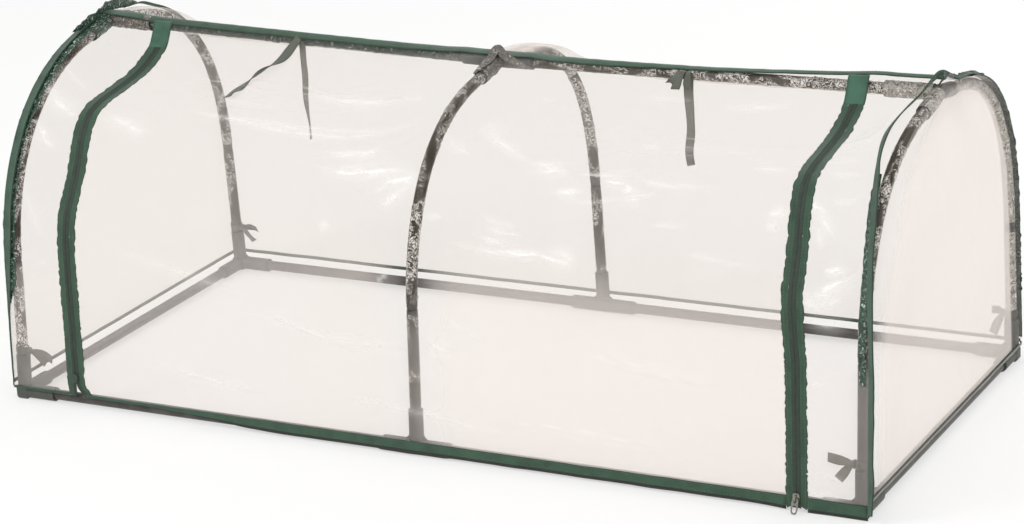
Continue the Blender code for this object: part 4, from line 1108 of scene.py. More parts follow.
def coverFilm():
    bottom = downAtHeight(tunnel["frontHemTop"] - 0.004)
    runDown = float(onCover(0.0, bottom, -1, "run"))
    grid = filmGrid(-1, lambda down: zipX("left", down) + film["edge"],
                    lambda down: zipX("right", down) - film["edge"],
                    gradedSteps(0, 1, 0.0062, 0.0036, 0.06),
                    downRows(gradedSteps(0.002, runDown, 0.0026, 0.0024, 0.05), bottom),
                    creaseFamilies["front"], 11,
                    {"pucker": 0.0016, "puckerReach": 0.018, "broad": 0.0012},
                    {"folds": photoFolds["door"], "haze": doorHaze})
    filmPiece("doorFilm", "door", "door_panel", grid)
    # the end strips beside the zips
    stripDowns = downRows(np.arange(0.002, runDown, 0.0024), bottom)
    for endName, end in ends.items():
        label = titled(endName)
        outerEdge = lambda down: np.full_like(down, end * (endPlane - 0.0003))
        zipEdge = lambda down: zipX(endName, down) + end * film["edge"]
        lefts, rights = (outerEdge, zipEdge) if end < 0 else (zipEdge, outerEdge)
        grid = filmGrid(-1, lefts, rights, np.linspace(0, 1, 42), stripDowns,
                        creaseFamilies["strip"], 23 + end,
                        {"pucker": 0.0018, "puckerReach": 0.022, "broad": 0.0010},
                        {"shift": end * 0.555, "haze": stripHaze, "folds": photoFolds[f"strip{label}"]})
        filmPiece(f"stripFilm{label}", "frame", f"side_strip_{endName}", grid)
    # the rear
    rearBottom = downAtHeight(tunnel["baseHemTop"] - 0.001)
    runDown = float(onCover(0.0, rearBottom, 1, "run"))
    grid = filmGrid(1, lambda down: np.full_like(down, endPlane - 0.0003),
                    lambda down: np.full_like(down, -endPlane + 0.0003),
                    gradedSteps(0, 1, 0.0040, 0.0024, 0.05),
                    downRows(gradedSteps(0.002, runDown, 0.0046, 0.003, 0.05), rearBottom, 1),
                    creaseFamilies["rear"], 37,
                    {"pucker": 0.0016, "puckerReach": 0.020, "broad": 0.0012},
                    {"haze": rearHaze, "dip": rearDip})
    filmPiece("rearFilm", "frame", "rear_panel", grid)


def endFilm(endName, end):
    # the flat arch of an end: a patch between the base hem, the two legs and the arch
    x = end * endPlane
    floorLine = tunnel["baseHemTop"] - 0.001
    down = np.concatenate([np.linspace(0, 1, 80), np.linspace(1, downAtHeight(floorLine), 30)[1:]])
    front = onCover(np.full_like(down, x), down, -1)[:, 1:]
    rear = onCover(np.full_like(down, x), down, 1)[:, 1:]
    topArc = np.vstack([front[:80][::-1], rear[1:80]])
    leftLeg, rightLeg = front[79:][::-1], rear[79:][::-1]
    across, high = 120, 88
    u = np.linspace(0, 1, across)[:, None, None]
    v = np.linspace(0, 1, high)[None, :, None]
    topLine = resample(topArc, np.linspace(0, 1, across))[:, None]
    baseLine = np.linspace(leftLeg[0], rightLeg[0], across)[:, None]
    leftLine = resample(leftLeg, np.linspace(0, 1, high))[None]
    rightLine = resample(rightLeg, np.linspace(0, 1, high))[None]
    patch = ((1 - v) * baseLine + v * topLine + (1 - u) * leftLine + u * rightLine
             - (1 - u) * (1 - v) * leftLeg[0] - u * (1 - v) * rightLeg[0]
             - (1 - u) * v * leftLeg[-1] - u * v * rightLeg[-1])
    spots = np.concatenate([np.full(patch.shape[:2] + (1,), x), patch], -1)
    out = np.zeros_like(spots)
    out[..., 0] = end
    heights = creaseHeights(patch[..., 0], patch[..., 1], creaseFamilies["end"], 51 + end)
    shareU, shareV = (np.broadcast_to(share[..., 0], heights.shape) for share in (u, v))
    rim = np.minimum(np.minimum(shareU, 1 - shareU) * 0.5, np.minimum(shareV, 1 - shareV) * 0.45)
    for i in range(across):
        for j in range(high):
            y, z = patch[i, j]
            heights[i, j] += noise.noise(Vector((y * 20, z * 24, end * 4))) * 0.0012
            if rim[i, j] < 0.05:
                heights[i, j] += (noise.noise(Vector((y * 95, z * 95, end * 9))) * 0.0014
                                  * math.exp(-rim[i, j] / 0.012))
    heights = np.minimum(heights, 0.0012) * smooth(rim / 0.007)
    # painted highlight where the end film's folds are steep
    slopes = np.gradient(heights)
    slope = np.hypot(slopes[0], slopes[1]) / 0.005
    crease = smooth((slope - 0.10) / 0.45)
    y, z = patch[..., 0], patch[..., 1]
    fromFront = y - np.interp(z, front[::-1, 1], front[::-1, 0])
    fromRear = np.interp(z, rear[::-1, 1], rear[::-1, 0]) - y
    haze = 0.15 + 0.46 * smooth((fromFront - 0.03 * smooth((z - 0.2) / 0.1)) / 0.07)
    haze = haze * smooth((fromRear - 0.038) / 0.008)
    haze = haze if end > 0 else np.full_like(y, 0.1)
    if end < 0:
        spots, out, heights, crease, patch = (v[::-1] for v in (spots, out, heights, crease, patch))
    grid = (spots + out * heights[..., None], out, patch, crease, haze)
    label = titled(endName)
    filmPiece(f"endFilm{label}", "frame", f"end_panel_{endName}", grid)


coverFilm()
for endName, end in ends.items():
    endFilm(endName, end)
print("film made")

# ---- woven bindings and their stitching

bands = {
    "ridge": {"halfWidth": 0.0068, "leftExtra": 0.0044, "thickness": 0.0010, "wave": 0.0006},
    "arch": {"thickness": 0.0015, "wave": 0.0007, "gap": 0.0004},
    "hem": {"thickness": 0.0010, "wave": 0.0007},
    "base": {"halfWidth": 0.0024, "thickness": 0.0011},
    "stitch": {"Spacing": 0.0042, "Item Length": 0.0030, "Item Width": 0.0006,
               "Item Height": 0.0005, "Wander": 0.12, "Seed": 5},
}


# how wide each end seam shows, from the front foot (-2) over the ridge (0) to the rear foot (2),
# where it ends above the front foot, and how far it buckles up over the ridge
seamWidths = {
    "left": ((-1.9, 0.0018), (-1.45, 0.0022), (-1.38, 0.0035), (-1.24, 0.0065), (-1.1, 0.0100),
             (-0.9, 0.0140), (-0.35, 0.0145), (-0.1, 0.0090), (0, 0.0070), (0.4, 0.0070), (1, 0.0045),
             (2, 0.0045)),
    "right": ((-1.97, 0.0110), (-1.8, 0.0145), (-0.55, 0.0140), (-0.48, 0.0120), (-0.43, 0.0070),
              (-0.38, 0.0085), (-0.32, 0.0150), (-0.22, 0.0145), (-0.12, 0.0080), (0.3, 0.0070),
              (0.45, 0.0120), (2, 0.0120)),
}
seamFeet = {"left": 0.0180, "right": 0.0090}
seamBuckles = {"left": 0.0060, "right": 0.0035}


def stitchRow(name, body, lines, outs):
    values = dict(bands["stitch"], Material=threadLook)
    data = runTree(itemRow, name, lines, values, {"outward": outs})
    return newPiece(name, data, body, threadLook, ())


def edgeStitches(name, body, centres, sideways, outs, halves, faces):
    # stitch rows along both edges of a band; faces gives each face's height and its sign
    lines, turned = [], []
    for share in (-0.78, 0.78):
        for height, sign in faces:
            lines.append(centres + sideways * (halves * share)[:, None] + outs * height)
            turned.append(outs * sign)
    stitchRow(name, body, lines, turned)


def ridgeBand():
    settings = bands["ridge"]
    x = np.arange(-0.6104, 0.6105, 0.004)
    x[-1] = 0.6104
    shares = np.array([-1, -0.985, -0.7, -0.35, 0, 0.35, 0.7, 0.985, 1,
                       1, 0.95, 0.8, 0.7, 0.35, 0, -0.35, -0.7, -0.8, -0.95, -1])
    lifts = np.array([0.3, 0.05, 0, 0, 0, 0, 0, 0.05, 0.3,
                      0.8, 1.05, 1.0, 0.82, 0.8, 0.85, 0.8, 0.82, 1.0, 1.05, 0.8])
    reach = np.abs(shares)
    rings = []
    for place in x:
        widened = settings["leftExtra"] * float(smooth((0.30 - place) / 0.2))
        drop = downAtRun(settings["halfWidth"] + widened)
        wave = nudge((place, 0, 0), 60, 2) * settings["wave"]
        top = onCover(place, 0.0, -1)
        target = np.where(shares[:, None] < 0, onCover(place, drop, -1), onCover(place, drop, 1))
        ring = top + (target - top) * reach[:, None]
        ring[:, 1] += wave * (1 - (1 - reach) ** 1.4)
        ring[:, 2] += (0.0006 * np.sin(reach * math.pi) + wave * 0.4 + 0.0004
                       + lifts * settings["thickness"])
        rings.append(ring)
    rings = np.array(rings)
    uvs = np.stack(np.broadcast_arrays(x[:, None], shares * settings["halfWidth"]), -1)
    data = ringMesh("ridgeBinding", rings, uvs, np.broadcast_to(reach, uvs.shape[:2]))
    newPiece("ridgeBinding", data, "frame", seamLook, ["ridge_binding"])
    lines, outs = [], []
    for side, spot in ((-1, 17), (1, 11)):
        lines.append(rings[:, spot] + np.array((0, 0, 0.0001)))
        outs.append(np.tile((0, side * 0.3, 0.95), (len(x), 1)))
    stitchRow("ridgeStitches", "frame", lines, outs)


def seamX(end, side, down):
    shift = 0.0
    if end > 0 and side < 0:
        shift = between(seamShifts, down)
    elif end > 0:
        shift = seamShifts[0][1] * max(1 - down / 0.1, 0)
    return end * (endPlane + 0.0005 - shift)


def archBand(endName, end):
    settings = bands["arch"]
    frontFoot = downAtHeight(seamFeet[endName])
    rearFoot = downAtHeight(tunnel["baseHemTop"] + 0.0003)
    stations = [(-1, down) for down in np.linspace(frontFoot, 0, 190)]
    stations += [(1, down) for down in np.linspace(0, rearFoot, 180)[1:]]
    centres, sideways, outs, halves = [], [], [], []
    for side, down in stations:
        x = seamX(end, side, down)
        skin = onCover(x, down, side)
        outward = onCover(x, down, side, "out") * np.array((0, 1, 1))
        outward = outward / np.linalg.norm(outward)
        upright = math.exp(-(down / 0.02) ** 2)
        outward = unit(outward * (1 - upright) + np.array((0, 0, 1)) * upright)
        lean = math.radians(between(seamLeans[endName], side * down))
        lean += math.radians(7) * nudge((down * 0.5, side, end), 16, 3)
        sidewise = np.array((end, 0, 0))
        away = outward * math.cos(lean) + sidewise * math.sin(lean)
        across = sidewise * math.cos(lean) - outward * math.sin(lean)
        buckle = (max(math.sin(side * down * 34 + 0.9), 0)
                  * math.exp(-((side * down - 0.13) / 0.17) ** 2))
        near = skin + outward * (0.0005 + settings["gap"] + settings["thickness"] / 2
                                 + seamBuckles[endName] * buckle)
        width = between(seamWidths[endName], side * down) * (1 + 0.07 * nudge((down, side, 0), 30, 6))
        wave = nudge((down * 0.45, side * 2, end), 55, 8) * settings["wave"]
        centres.append(near + away * width / 2 + across * (wave - settings["thickness"] / 2))
        sideways.append(away)
        outs.append(across)
        halves.append(width / 2)
    window = np.exp(-(np.arange(-9, 10) / 4.0) ** 2)
    window /= window.sum()

    def eased(values):
        values = np.asarray(values)
        padded = np.concatenate([np.repeat(values[:1], 9, 0), values, np.repeat(values[-1:], 9, 0)])
        return np.stack([np.convolve(padded[:, axis], window, "valid") for axis in range(3)], -1)

    centres = eased(centres)
    outs = unit(eased(outs))
    sideways = unit(eased(sideways))
    outs = squared(outs, sideways)
    data = bandMesh(f"archBinding{titled(endName)}", centres, sideways, outs, halves,
                    settings["thickness"])
    newPiece(f"archBinding{titled(endName)}", data, "frame", seamLook,
             [f"arch_binding_{endName}"])
    thick = settings["thickness"]
    edgeStitches(f"archStitches{titled(endName)}", "frame", centres, sideways, outs,
                 np.array(halves), ((thick * 1.02, 1), (-thick * 0.02, -1)))


def seamFlap(name, side, lefts, rights, start, end, lift=0.0008, look=None):
    # the gathered seam allowance beside an end seam, lying in crumples on the cover
    downs = np.linspace(start, end, 150)
    left, right = tableAt(lefts, downs), tableAt(rights, downs)
    ragged = np.array([[nudge((down * 0.45, key, side), 110, 3) for down in downs] for key in (1, 2)])
    left, right = left + ragged[0] * 0.0016, right + ragged[1] * 0.0022
    middle = (left + right) / 2
    waves = np.array([nudge((down * 0.45, 5, side), 140, 7) for down in downs]) * 0.0008
    outs = onCover(middle, downs, side, "out")
    centres = onCover(middle, downs, side) + outs * (lift + waves)[:, None]
    sideways = unit(onCover(right, downs, side) - onCover(left, downs, side))
    outs = squared(outs, sideways)
    data = bandMesh(name, centres, sideways, outs, (right - left) / 2, 0.0006)
    newPiece(name, data, "frame", look or greenCrumple, ())


def crownFrill(name, start, stop, x, reach, look=None):
    # an end seam gathers into an upright crumpled frill over the crown
    downs = np.linspace(start, stop, 120)
    centres, halves = [], []
    for down in downs:
        side = -1 if down < 0 else 1
        share = (down - start) / (stop - start) * 2 - 1
        here = x + 0.004 * nudge((down, 2, x), 26, 3)
        rise = reach * (1.1 + 0.6 * nudge((down, 1, x), 42, 8))
        centres.append(onCover(here, abs(down), side) + np.array((0, 0, rise)))
        halves.append(reach * (1 - abs(share) ** 3) + 0.0006)
    centres = np.array(centres)
    lean = math.copysign(0.25, x)
    sideways = np.tile(unit((-lean, 0, 1.0)), (len(downs), 1))
    outs = np.tile(unit((math.copysign(1.0, x), 0, 0.25)), (len(downs), 1))
    data = bandMesh(name, centres, sideways, outs, np.array(halves), 0.0009)
    newPiece(name, data, "frame", look or greenCrumple, ())


def endLip():
    # at the right end the clear film is turned down to just above the rail
    y = np.linspace(-coverDepth + 0.004, coverDepth - 0.004, 110)
    centres = np.array([(endPlane + 0.0008, place, 0.0218 + 0.0005 * nudge((place, 5, 0), 40, 4))
                        for place in y])
    up, outs = np.tile((0.0, 0, 1), (len(y), 1)), np.tile((1.0, 0, 0), (len(y), 1))
    data = bandMesh("endLipRight", centres, up, outs, 0.0016, 0.0005)
    milk = data.attributes.new("haze", "FLOAT", "POINT")
    milk.data.foreach_set("value", np.full(len(data.vertices), 0.45, np.float32))
    newPiece("endLipRight", data, "frame", filmLook, ())


def hemEdges(x):
    # the hem rides up on the front rail at the left and hangs over it at the right
    top = tunnel["frontHemTop"]
    hang = 0.0085 * float(smooth((x + 0.42) / 0.25)) + 0.003 * float(smooth((x - 0.45) / 0.1))
    return top, top - 0.0035 - hang


def hemBands():
    settings = bands["hem"]
    runs = {
        "sideHemLeft": (-0.6100, -0.5220, "frame", "side_hem_left"),
        "doorHem": (-0.4940, 0.5065, "door", "door_hem"),
        "sideHemRight": (0.5340, 0.6100, "frame", "side_hem_right"),
    }
    for name, (start, end, body, node) in runs.items():
        x = np.linspace(start, end, max(int((end - start) / 0.005), 12))
        centres, sideways, outs, halves = [], [], [], []
        for place in x:
            wave = nudge((place, 1, 0), 28, 4) * settings["wave"]
            top, bottom = hemEdges(place)
            halves.append((top - bottom) / 2)
            centres.append((place, -coverDepth - 0.0001 - abs(wave), (top + bottom) / 2 + wave * 0.5))
            tilt = 0.04 + 0.10 * nudge((place, 3, 0), 20, 9)
            sideways.append((0, tilt, 1))
            outs.append((0, -1, tilt))
        sideways, outs = unit(sideways), unit(outs)
        halves = np.array(halves)
        data = bandMesh(name, centres, sideways, outs, halves, settings["thickness"])
        newPiece(name, data, body, seamLook, [node])
        railAndShadeStrip = [place for place in range(len(x)) if x[place] > -0.36]
        if railAndShadeStrip:      # a dark strip shows below the hem for the front rail's underside: its dark colour and painted shade
            grown = 0.0020 * smooth((x[railAndShadeStrip] + 0.36) / 0.12)
            grown += 0.0006 * smooth((0.052 - np.abs(x[railAndShadeStrip])) / 0.006)
            under = np.array(centres)[railAndShadeStrip] - sideways[railAndShadeStrip] * (halves[railAndShadeStrip] + grown)[:, None]
            data = bandMesh(f"{name}Lining", under - outs[railAndShadeStrip] * 0.0008, sideways[railAndShadeStrip],
                            outs[railAndShadeStrip], 0.0003 + grown, 0.0006)
            newPiece(f"{name}Lining", data, body, railAndShadeStripLook, ())
        edgeStitches(name + "Stitches", body, np.array(centres), sideways, outs, halves,
                     ((settings["thickness"] * 1.02, 1),))


def baseBand():
    # one narrow band round the left end, the rear and the right end
    settings = bands["base"]
    z = (tunnel["baseHemTop"] + tunnel["baseHemBottom"]) / 2
    front, rear, side = -coverDepth + 0.0006, coverDepth + 0.0002, endPlane + 0.0002
    corner = 0.004
    half = [(side, y, 0) for y in np.linspace(front, rear - corner, 80)]
    half += [(side - corner * (1 - math.cos(turn)), rear - corner + corner * math.sin(turn), 0)
             for turn in np.linspace(0.2, 1.4, 5)]
    back = [(x, rear, 0) for x in np.linspace(-side + corner, side - corner, 170)]
    line = np.array([(-x, y, 0) for x, y, _ in half] + back + half[::-1])
    along = unit(np.gradient(line, axis=0))
    outs = np.cross((0, 0, 1), along)
    outs = np.where((outs * (line * (0.5, 1, 0))).sum(1, keepdims=True) < 0, -outs, outs)
    line[:, 2] = [z + nudge(point, 25, 12) * 0.0005 for point in line]
    rightEnd = line[:, 0] > side - 0.003
    line[:, 2] -= 0.0030 * rightEnd
    halves = settings["halfWidth"] - 0.0008 * rightEnd
    data = bandMesh("baseBinding", line, np.tile((0, 0, 1), (len(line), 1)), outs,
                    halves, settings["thickness"])
    newPiece("baseBinding", data, "frame", seamLook, ["base_binding"])


ridgeBand()
for endName, end in ends.items():
    archBand(endName, end)
inner, outer = endPlane - 0.0165, endPlane + 0.001
seamFlap("seamFlapFrontLeft", -1, ((0, -outer), (2, -outer)),
         ((0, -inner + 0.003), (0.4, -inner + 0.005), (0.6, -inner), (1.1, -inner),
          (1.3, -outer + 0.006)),
         0.03, 1.3)
seamFlap("seamFlapFrontRight", -1, ((0, 0.588), (0.45, 0.586), (0.75, 0.596), (1.3, 0.601)),
         ((0, 0.597), (0.45, 0.594), (0.75, 0.605), (1.3, 0.609)), 0.46, 1.12)
seamFlap("seamFlapRearRight", 1, ((0, 0.600), (0.5, 0.596), (1, 0.597), (1.5, 0.604)),
         ((0, outer), (2, outer)), 0.20, 1.5, look=darkCrumple)
crownFrill("crownFrillLeft", -0.20, 0.17, -0.6035, 0.0072)
crownFrill("crownFrillRight", -0.05, 0.34, 0.6060, 0.0030, darkCrumple)
hemBands()
baseBand()
endLip()
print("bindings made")

# ---- the zips

zips = {
    "halfWidth": 0.0138, "tapeThickness": 0.0008, "tapeLift": 0.0004, "tapeInner": 0.0044,
    "patchLength": 0.038,
    "coil": {"Spacing": 0.0021, "Item Length": 0.0013, "Item Width": 0.0046, "Item Height": 0.0017,
             "Turn": 0.16, "Wander": 0.03, "Seed": 9},
    "coilMiddle": 0.0027, "coilLift": 0.0014, "cordHalf": 0.00282,
}


cordSection = tuple((math.cos(turn), 0.5 + 0.5 * math.sin(turn))
                    for turn in np.linspace(0, 2 * math.pi, 13)[:-1])


def coverStations(top, bottom, step):
    runs = np.arange(float(onCover(0.0, top, -1, "run")), float(onCover(0.0, bottom, -1, "run")), step)
    return np.array([downAtRun(run) for run in runs] + [bottom])


def onZip(endName, down, across, lift):
    # points beside a zip's middle line, on the cover and lifted off it
    x = zipX(endName, down) + across
    return onCover(x, down, -1) + onCover(x, down, -1, "out") * np.asarray(lift)[..., None]


def zipPieces(endName, side):
    label = titled(endName)
    inner, outer, lift = zips["tapeInner"], zips["halfWidth"], zips["tapeLift"]
    patchEnd = downAtRun(0.0065 + zips["patchLength"])
    bottom = downAtHeight(hemEdges(zipFoot[endName])[1] + 0.0005)
    downs = coverStations(patchEnd, bottom, 0.003)
    coilDowns = coverStations(patchEnd, bottom, zips["coil"]["Spacing"])
    for part, own, body in (("Fixed", side, "frame"), ("Door", -side, "door")):
        middle = own * (outer + inner) / 2
        ruffle = np.array([nudge((down * 0.5, own, side), 150, 14) for down in downs]) * 0.0023
        parting = 0 * downs
        if side < 0 and own > 0:      # the left zip's door half comes away at its foot
            parting = 0.011 * smooth((downs - bottom + 0.115) / 0.115) ** 2
        centres = onZip(endName, downs, middle + own * (ruffle + parting), lift)
        outs = onCover(zipX(endName, downs) + middle, downs, -1, "out")
        sideways = unit(np.cross(unit(np.gradient(centres, axis=0)), outs))
        data = bandMesh(f"zipTape{part}{label}", centres, sideways, outs, (outer - inner) / 2,
                        zips["tapeThickness"])
        newPiece(f"zipTape{part}{label}", data, body, zipTapeLook,
                 [f"zip_tape_{part.lower()}_{endName}"])
        lines = [onZip(endName, downs, own * (inner + (outer - inner) * share),
                       lift + zips["tapeThickness"] * 0.86) for share in (0.15, 0.72)]
        stitchRow(f"zipStitches{part}{label}", body, lines, [outs, outs])
        cord = onZip(endName, downs, own * (zips["coilMiddle"] + parting), 0.0003)
        data = bandMesh(f"coilCord{part}{label}", cord, sideways, outs, zips["cordHalf"], 0.0016,
                        cordSection)
        newPiece(f"coilCord{part}{label}", data, body, coilLook, ())
        across = own * (zips["coilMiddle"] + np.interp(coilDowns, downs, parting))
        line = onZip(endName, coilDowns, across, zips["coilLift"])
        if own < 0:      # the two halves' turns lie between each other
            line[0] = (line[0] + line[1]) / 2
        coilOuts = onCover(zipX(endName, coilDowns), coilDowns, -1, "out")
        values = dict(zips["coil"], Material=coilLook, Turn=zips["coil"]["Turn"] * own)
        data = runTree(itemRow, f"coil{part}{label}", [line], values, {"outward": [coilOuts]})
        newPiece(f"coil{part}{label}", data, body, coilLook, ())
    # the plain patch over the zip's top
    downs = coverStations(downAtRun(0.0068), patchEnd, 0.003)
    centres = onZip(endName, downs, 0.0, lift)
    outs = onCover(zipX(endName, downs), downs, -1, "out")
    sideways = unit(np.cross(unit(np.gradient(centres, axis=0)), outs))
    data = bandMesh(f"zipPatch{label}", centres, sideways, outs, outer + 0.0003, 0.0012)
    newPiece(f"zipPatch{label}", data, "frame", bindingLook, [f"zip_patch_{endName}"])
    inset = 0.82 * outer
    lines = [centres + sideways * inset + outs * 0.0013, centres - sideways * inset + outs * 0.0013]
    low = centres[-2] + np.linspace(-inset, inset, 8)[:, None] * sideways[-2] + outs[-2] * 0.0013
    stitchRow(f"patchStitches{label}", "frame", lines + [low], [outs, outs, np.tile(outs[-2], (8, 1))])


for endName, end in ends.items():
    zipPieces(endName, end)
print("zips made")

# ---- ribbons

ribbons = {"width": 0.0125, "thickness": 0.0007, "gap": 0.0004}
ribbonSection = ((-1, 0.5), (-0.96, 0), (-0.3, 0), (0.3, 0), (0.96, 0), (1, 0.5),
                 (0.96, 1), (0.3, 1), (-0.3, 1), (-0.96, 1))


def strip(points, sides, widths, steps=6):
    # a ribbon mesh through control points; sides are the directions of its width
    path = smoothPath(points, steps)
    sideways = smoothPath(sides, steps)
    along = unit(np.gradient(path, axis=0))
    sideways = squared(sideways, along)
    outs = np.cross(sideways, along)
    halves = np.interp(np.linspace(0, 1, len(path)), np.linspace(0, 1, len(widths)), widths) / 2
    return bandMesh("strip", path, sideways, outs, halves, ribbons["thickness"], ribbonSection)


def joined(name, meshes):
    shape = bmesh.new()
    for mesh in meshes:
        shape.from_mesh(mesh)
    data = bpy.data.meshes.new(name)
    shape.to_mesh(data)
    shape.free()
    for mesh in meshes:
        bpy.data.meshes.remove(mesh)
    data.shade_smooth()
    return data


def turnedVector(vector, axis, degrees):
    return np.array(Matrix.Rotation(math.radians(degrees), 3, Vector(axis)) @ Vector(vector))


def innerTies():
    for endName, share, length, twist in (("left", -0.4833, 0.135, 96), ("right", 0.4533, 0.117, 14)):
        x = share * tunnel["halfLength"]
        top = ridgeTubeHeight(x)
        seed = 4 if endName == "left" else 8
        points, sides = [], []
        for step in range(15):
            down = step / 14
            sway = nudge((down * 2, seed, 0), 1.6, seed) * 0.010 * down
            points.append((x + sway + 0.004 * down * (1 if seed == 4 else -0.3), -0.0085 - 0.003 * down,
                           top - length * down))
            angle = twist * (0.45 + 0.55 * float(smooth((down - 0.25) / 0.6))) + 12 * math.sin(down * 9)
            sides.append(turnedVector((1, 0, 0), (0, 0, 1), angle))
        width = ribbons["width"] * (0.72 if endName == "left" else 1)
        data = joined(f"innerTie{titled(endName)}",
                      [strip(points, sides, [width, width * 0.96, width * 0.9, width * 0.8], 5)])
        newPiece(f"innerTie{titled(endName)}", data, "frame", ribbonLook,
                 [f"inner_tie_{endName}"])


def outerTieLeft():
    # trails down the door from the ridge, with a half twist on the way
    startX, endX = -0.294, -0.342
    points, sides = [], []
    count = 17
    for step in range(count):
        share = step / (count - 1)
        down = downAtRun(0.010 + 0.132 * share)
        x = startX + (endX - startX) * math.sin(math.pi * share / 2)
        out = onCover(x, down, -1, "out")
        tilt = (62 * math.exp(-((share - 0.52) / 0.16) ** 2)
                + 24 * math.exp(-((share - 0.95) / 0.1) ** 2))
        lift = 0.0011 + 0.0055 * math.sin(math.radians(tilt)) + 0.002 * math.sin(math.pi * share)
        points.append(onCover(x, down, -1) + out * lift)
        along = onCover(x, down + 0.01, -1) - onCover(x, down, -1)
        sides.append(turnedVector((1, 0, 0), unit(along), tilt))
    width = ribbons["width"]
    widths = [width * share for share in (0.9, 1.15, 1.1, 0.8, 0.8, 1.2, 1.1)]
    data = joined("outerTieLeft", [strip(points, sides, widths, 5)])
    newPiece("outerTieLeft", data, "door", ribbonLook, ["outer_tie_left"])


def outerTieRight():
    # folded over and over into a short bundle beside the ridge
    middle = 0.4533 * tunnel["halfLength"]
    strips = []
    width = ribbons["width"]
    for offset, reach, rise, lean in ((-0.006, 0.024, 0.0050, -0.008), (0.001, 0.020, 0.0034, 0.003),
                                      (-0.010, 0.016, 0.0024, -0.014)):
        points, sides = [], []
        for step in range(9):
            share = step / 8
            down = downAtRun(0.009 + reach * math.sin(math.pi * min(share * 1.15, 1) / 2) ** 1.2)
            x = middle + offset + lean * share
            out = onCover(x, down, -1, "out")
            lift = 0.0012 + rise * math.sin(math.pi * share) ** 0.7
            points.append(onCover(x, down, -1) + out * lift)
            sides.append((1, 0.2 * math.sin(share * 4 + offset * 300), 0.1))
        strips.append(strip(points, sides, [width * 0.5, width * 0.9, width * 0.8], 4))
    newPiece("outerTieRight", joined("outerTieRight", strips), "door", ribbonLook,
             ["outer_tie_right"])


# the tails of each corner tie: length, tilt in degrees and droop
tieTails = {
    "frontRight": ((0.034, 14, 0.0), (0.025, -36, 0.004)),
    "frontLeft": ((0.036, -14, -0.003), (0.030, -38, -0.006), (-0.016, 60, 0.004)),
    "rearLeft": ((0.024, 12, 0.002), (0.022, -38, 0.002), (-0.016, 4, 0.003)),
    "rearRight": ((0.026, -58, 0.004), (0.018, 30, 0.002)),
}


def cornerTie(sideName, endName):
    side = sideNames[sideName]
    end = ends[endName]
    path = hoopPath(0, side)
    up = unit(inHoop(0, side, path[1]) - inHoop(0, side, path[0]))
    foot = inHoop(end * tunnel["halfLength"], side, path[0])
    centre = foot + up * (0.0600 - tunnel["railHeight"] + ribbons["width"] / 2)
    inward = np.array((-end, 0, 0))
    meshes = []
    # two turns round the leg that cross, then the knot and the tails
    for lift, tilt, radius in ((-0.0018, 0.16, 0.0079), (0.0016, -0.14, 0.0088)):
        points, sides = [], []
        for turn in np.linspace(0.12, 2 * math.pi - 0.12, 25):
            away = inward * math.cos(turn) + np.cross(up, inward) * math.sin(turn)
            points.append(centre + away * radius + up * (lift + tilt * 0.008 * math.cos(turn)))
            sides.append(up)
        meshes.append(strip(points, sides, [0.0085, 0.0100, 0.0085], 1))
    knot = centre + inward * 0.0112
    ball = bmesh.new()
    bmesh.ops.create_icosphere(ball, subdivisions=3, radius=1.0)
    for vert in ball.verts:
        fold = 1 + 0.34 * noise.noise(vert.co * 1.9 + Vector((end * 3, side * 5, 1)))
        spot = Vector((vert.co.x * 0.0042, vert.co.y * 0.0046, vert.co.z * 0.0054))
        vert.co = spot * fold + Vector(knot)
    data = bpy.data.meshes.new("knot")
    ball.to_mesh(data)
    ball.free()
    data.uv_layers.new(name="UVMap")
    data.attributes.new("edge", "FLOAT", "POINT")
    meshes.append(data)
    seed = end * 2 + side
    for length, tilt, drop in tieTails[sideName + titled(endName)]:
        points, sides = [], []
        direction = turnedVector(inward * math.copysign(1, length), (0, 1, 0), tilt * end)
        for step in range(8):
            share = step / 7
            bulge = math.sin(share * math.pi) * 0.003 * (1 if tilt > 0 else -1)
            points.append(knot + direction * abs(length) * share + np.array((0, side * bulge, 0))
                          + np.array((0, 0, -0.004 * share ** 2 - drop * share)))
            width = turnedVector((0, 0, 1), (0, 1, 0), tilt * end)
            sides.append(turnedVector(width, unit(direction),
                                      (18 + 26 * math.sin(share * 3 + seed)) * (1 - 0.4 * share)))
        meshes.append(strip(points, sides, [0.0040, 0.0090, 0.0118, 0.0122, 0.0120], 4))
    label = titled(sideName, endName)
    newPiece(f"cornerTie{label}", joined(f"cornerTie{label}", meshes), "frame", ribbonLook,
             [f"corner_tie_{sideName}_{endName}"])


innerTies()
outerTieLeft()
outerTieRight()
for sideName in sideNames:
    for endName in ends:
        cornerTie(sideName, endName)
print("ribbons made")

# ---- zip sliders and pulls

fittings = {
    "plate": 0.0011, "width": 0.0102, "length": 0.0124, "edge": 0.00035,
    "pullWidth": 0.0090, "pullLength": 0.0200, "pullThickness": 0.0010,
    "sliderHeights": {"left": 0.042, "right": 0.0187}, "pullTilts": {"left": 0, "right": 22},
}


def plateMesh(name, outlines, thickness, edge, place):
    # a plate with rounded edges from closed outlines, the inner ones holes
    curve = bpy.data.curves.new(name, "CURVE")
    curve.dimensions = "2D"
    curve.fill_mode = "BOTH"
    curve.extrude = thickness / 2 - edge
    curve.bevel_depth = edge
    curve.bevel_resolution = 2
    curve.offset = -edge
    for outline in outlines:
        spline = curve.splines.new("POLY")
        spline.points.add(len(outline) - 1)
        for point, (x, y) in zip(spline.points, outline):
            point.co = (x, y, 0, 1)
        spline.use_cyclic_u = True
    holder = bpy.data.objects.new(name, curve)
    scene.collection.objects.link(holder)
    bpy.context.view_layer.update()
    data = bpy.data.meshes.new_from_object(holder.evaluated_get(bpy.context.evaluated_depsgraph_get()))
    bpy.data.objects.remove(holder, do_unlink=True)
    data.transform(place)
    return outwardFaces(data, merged=True)


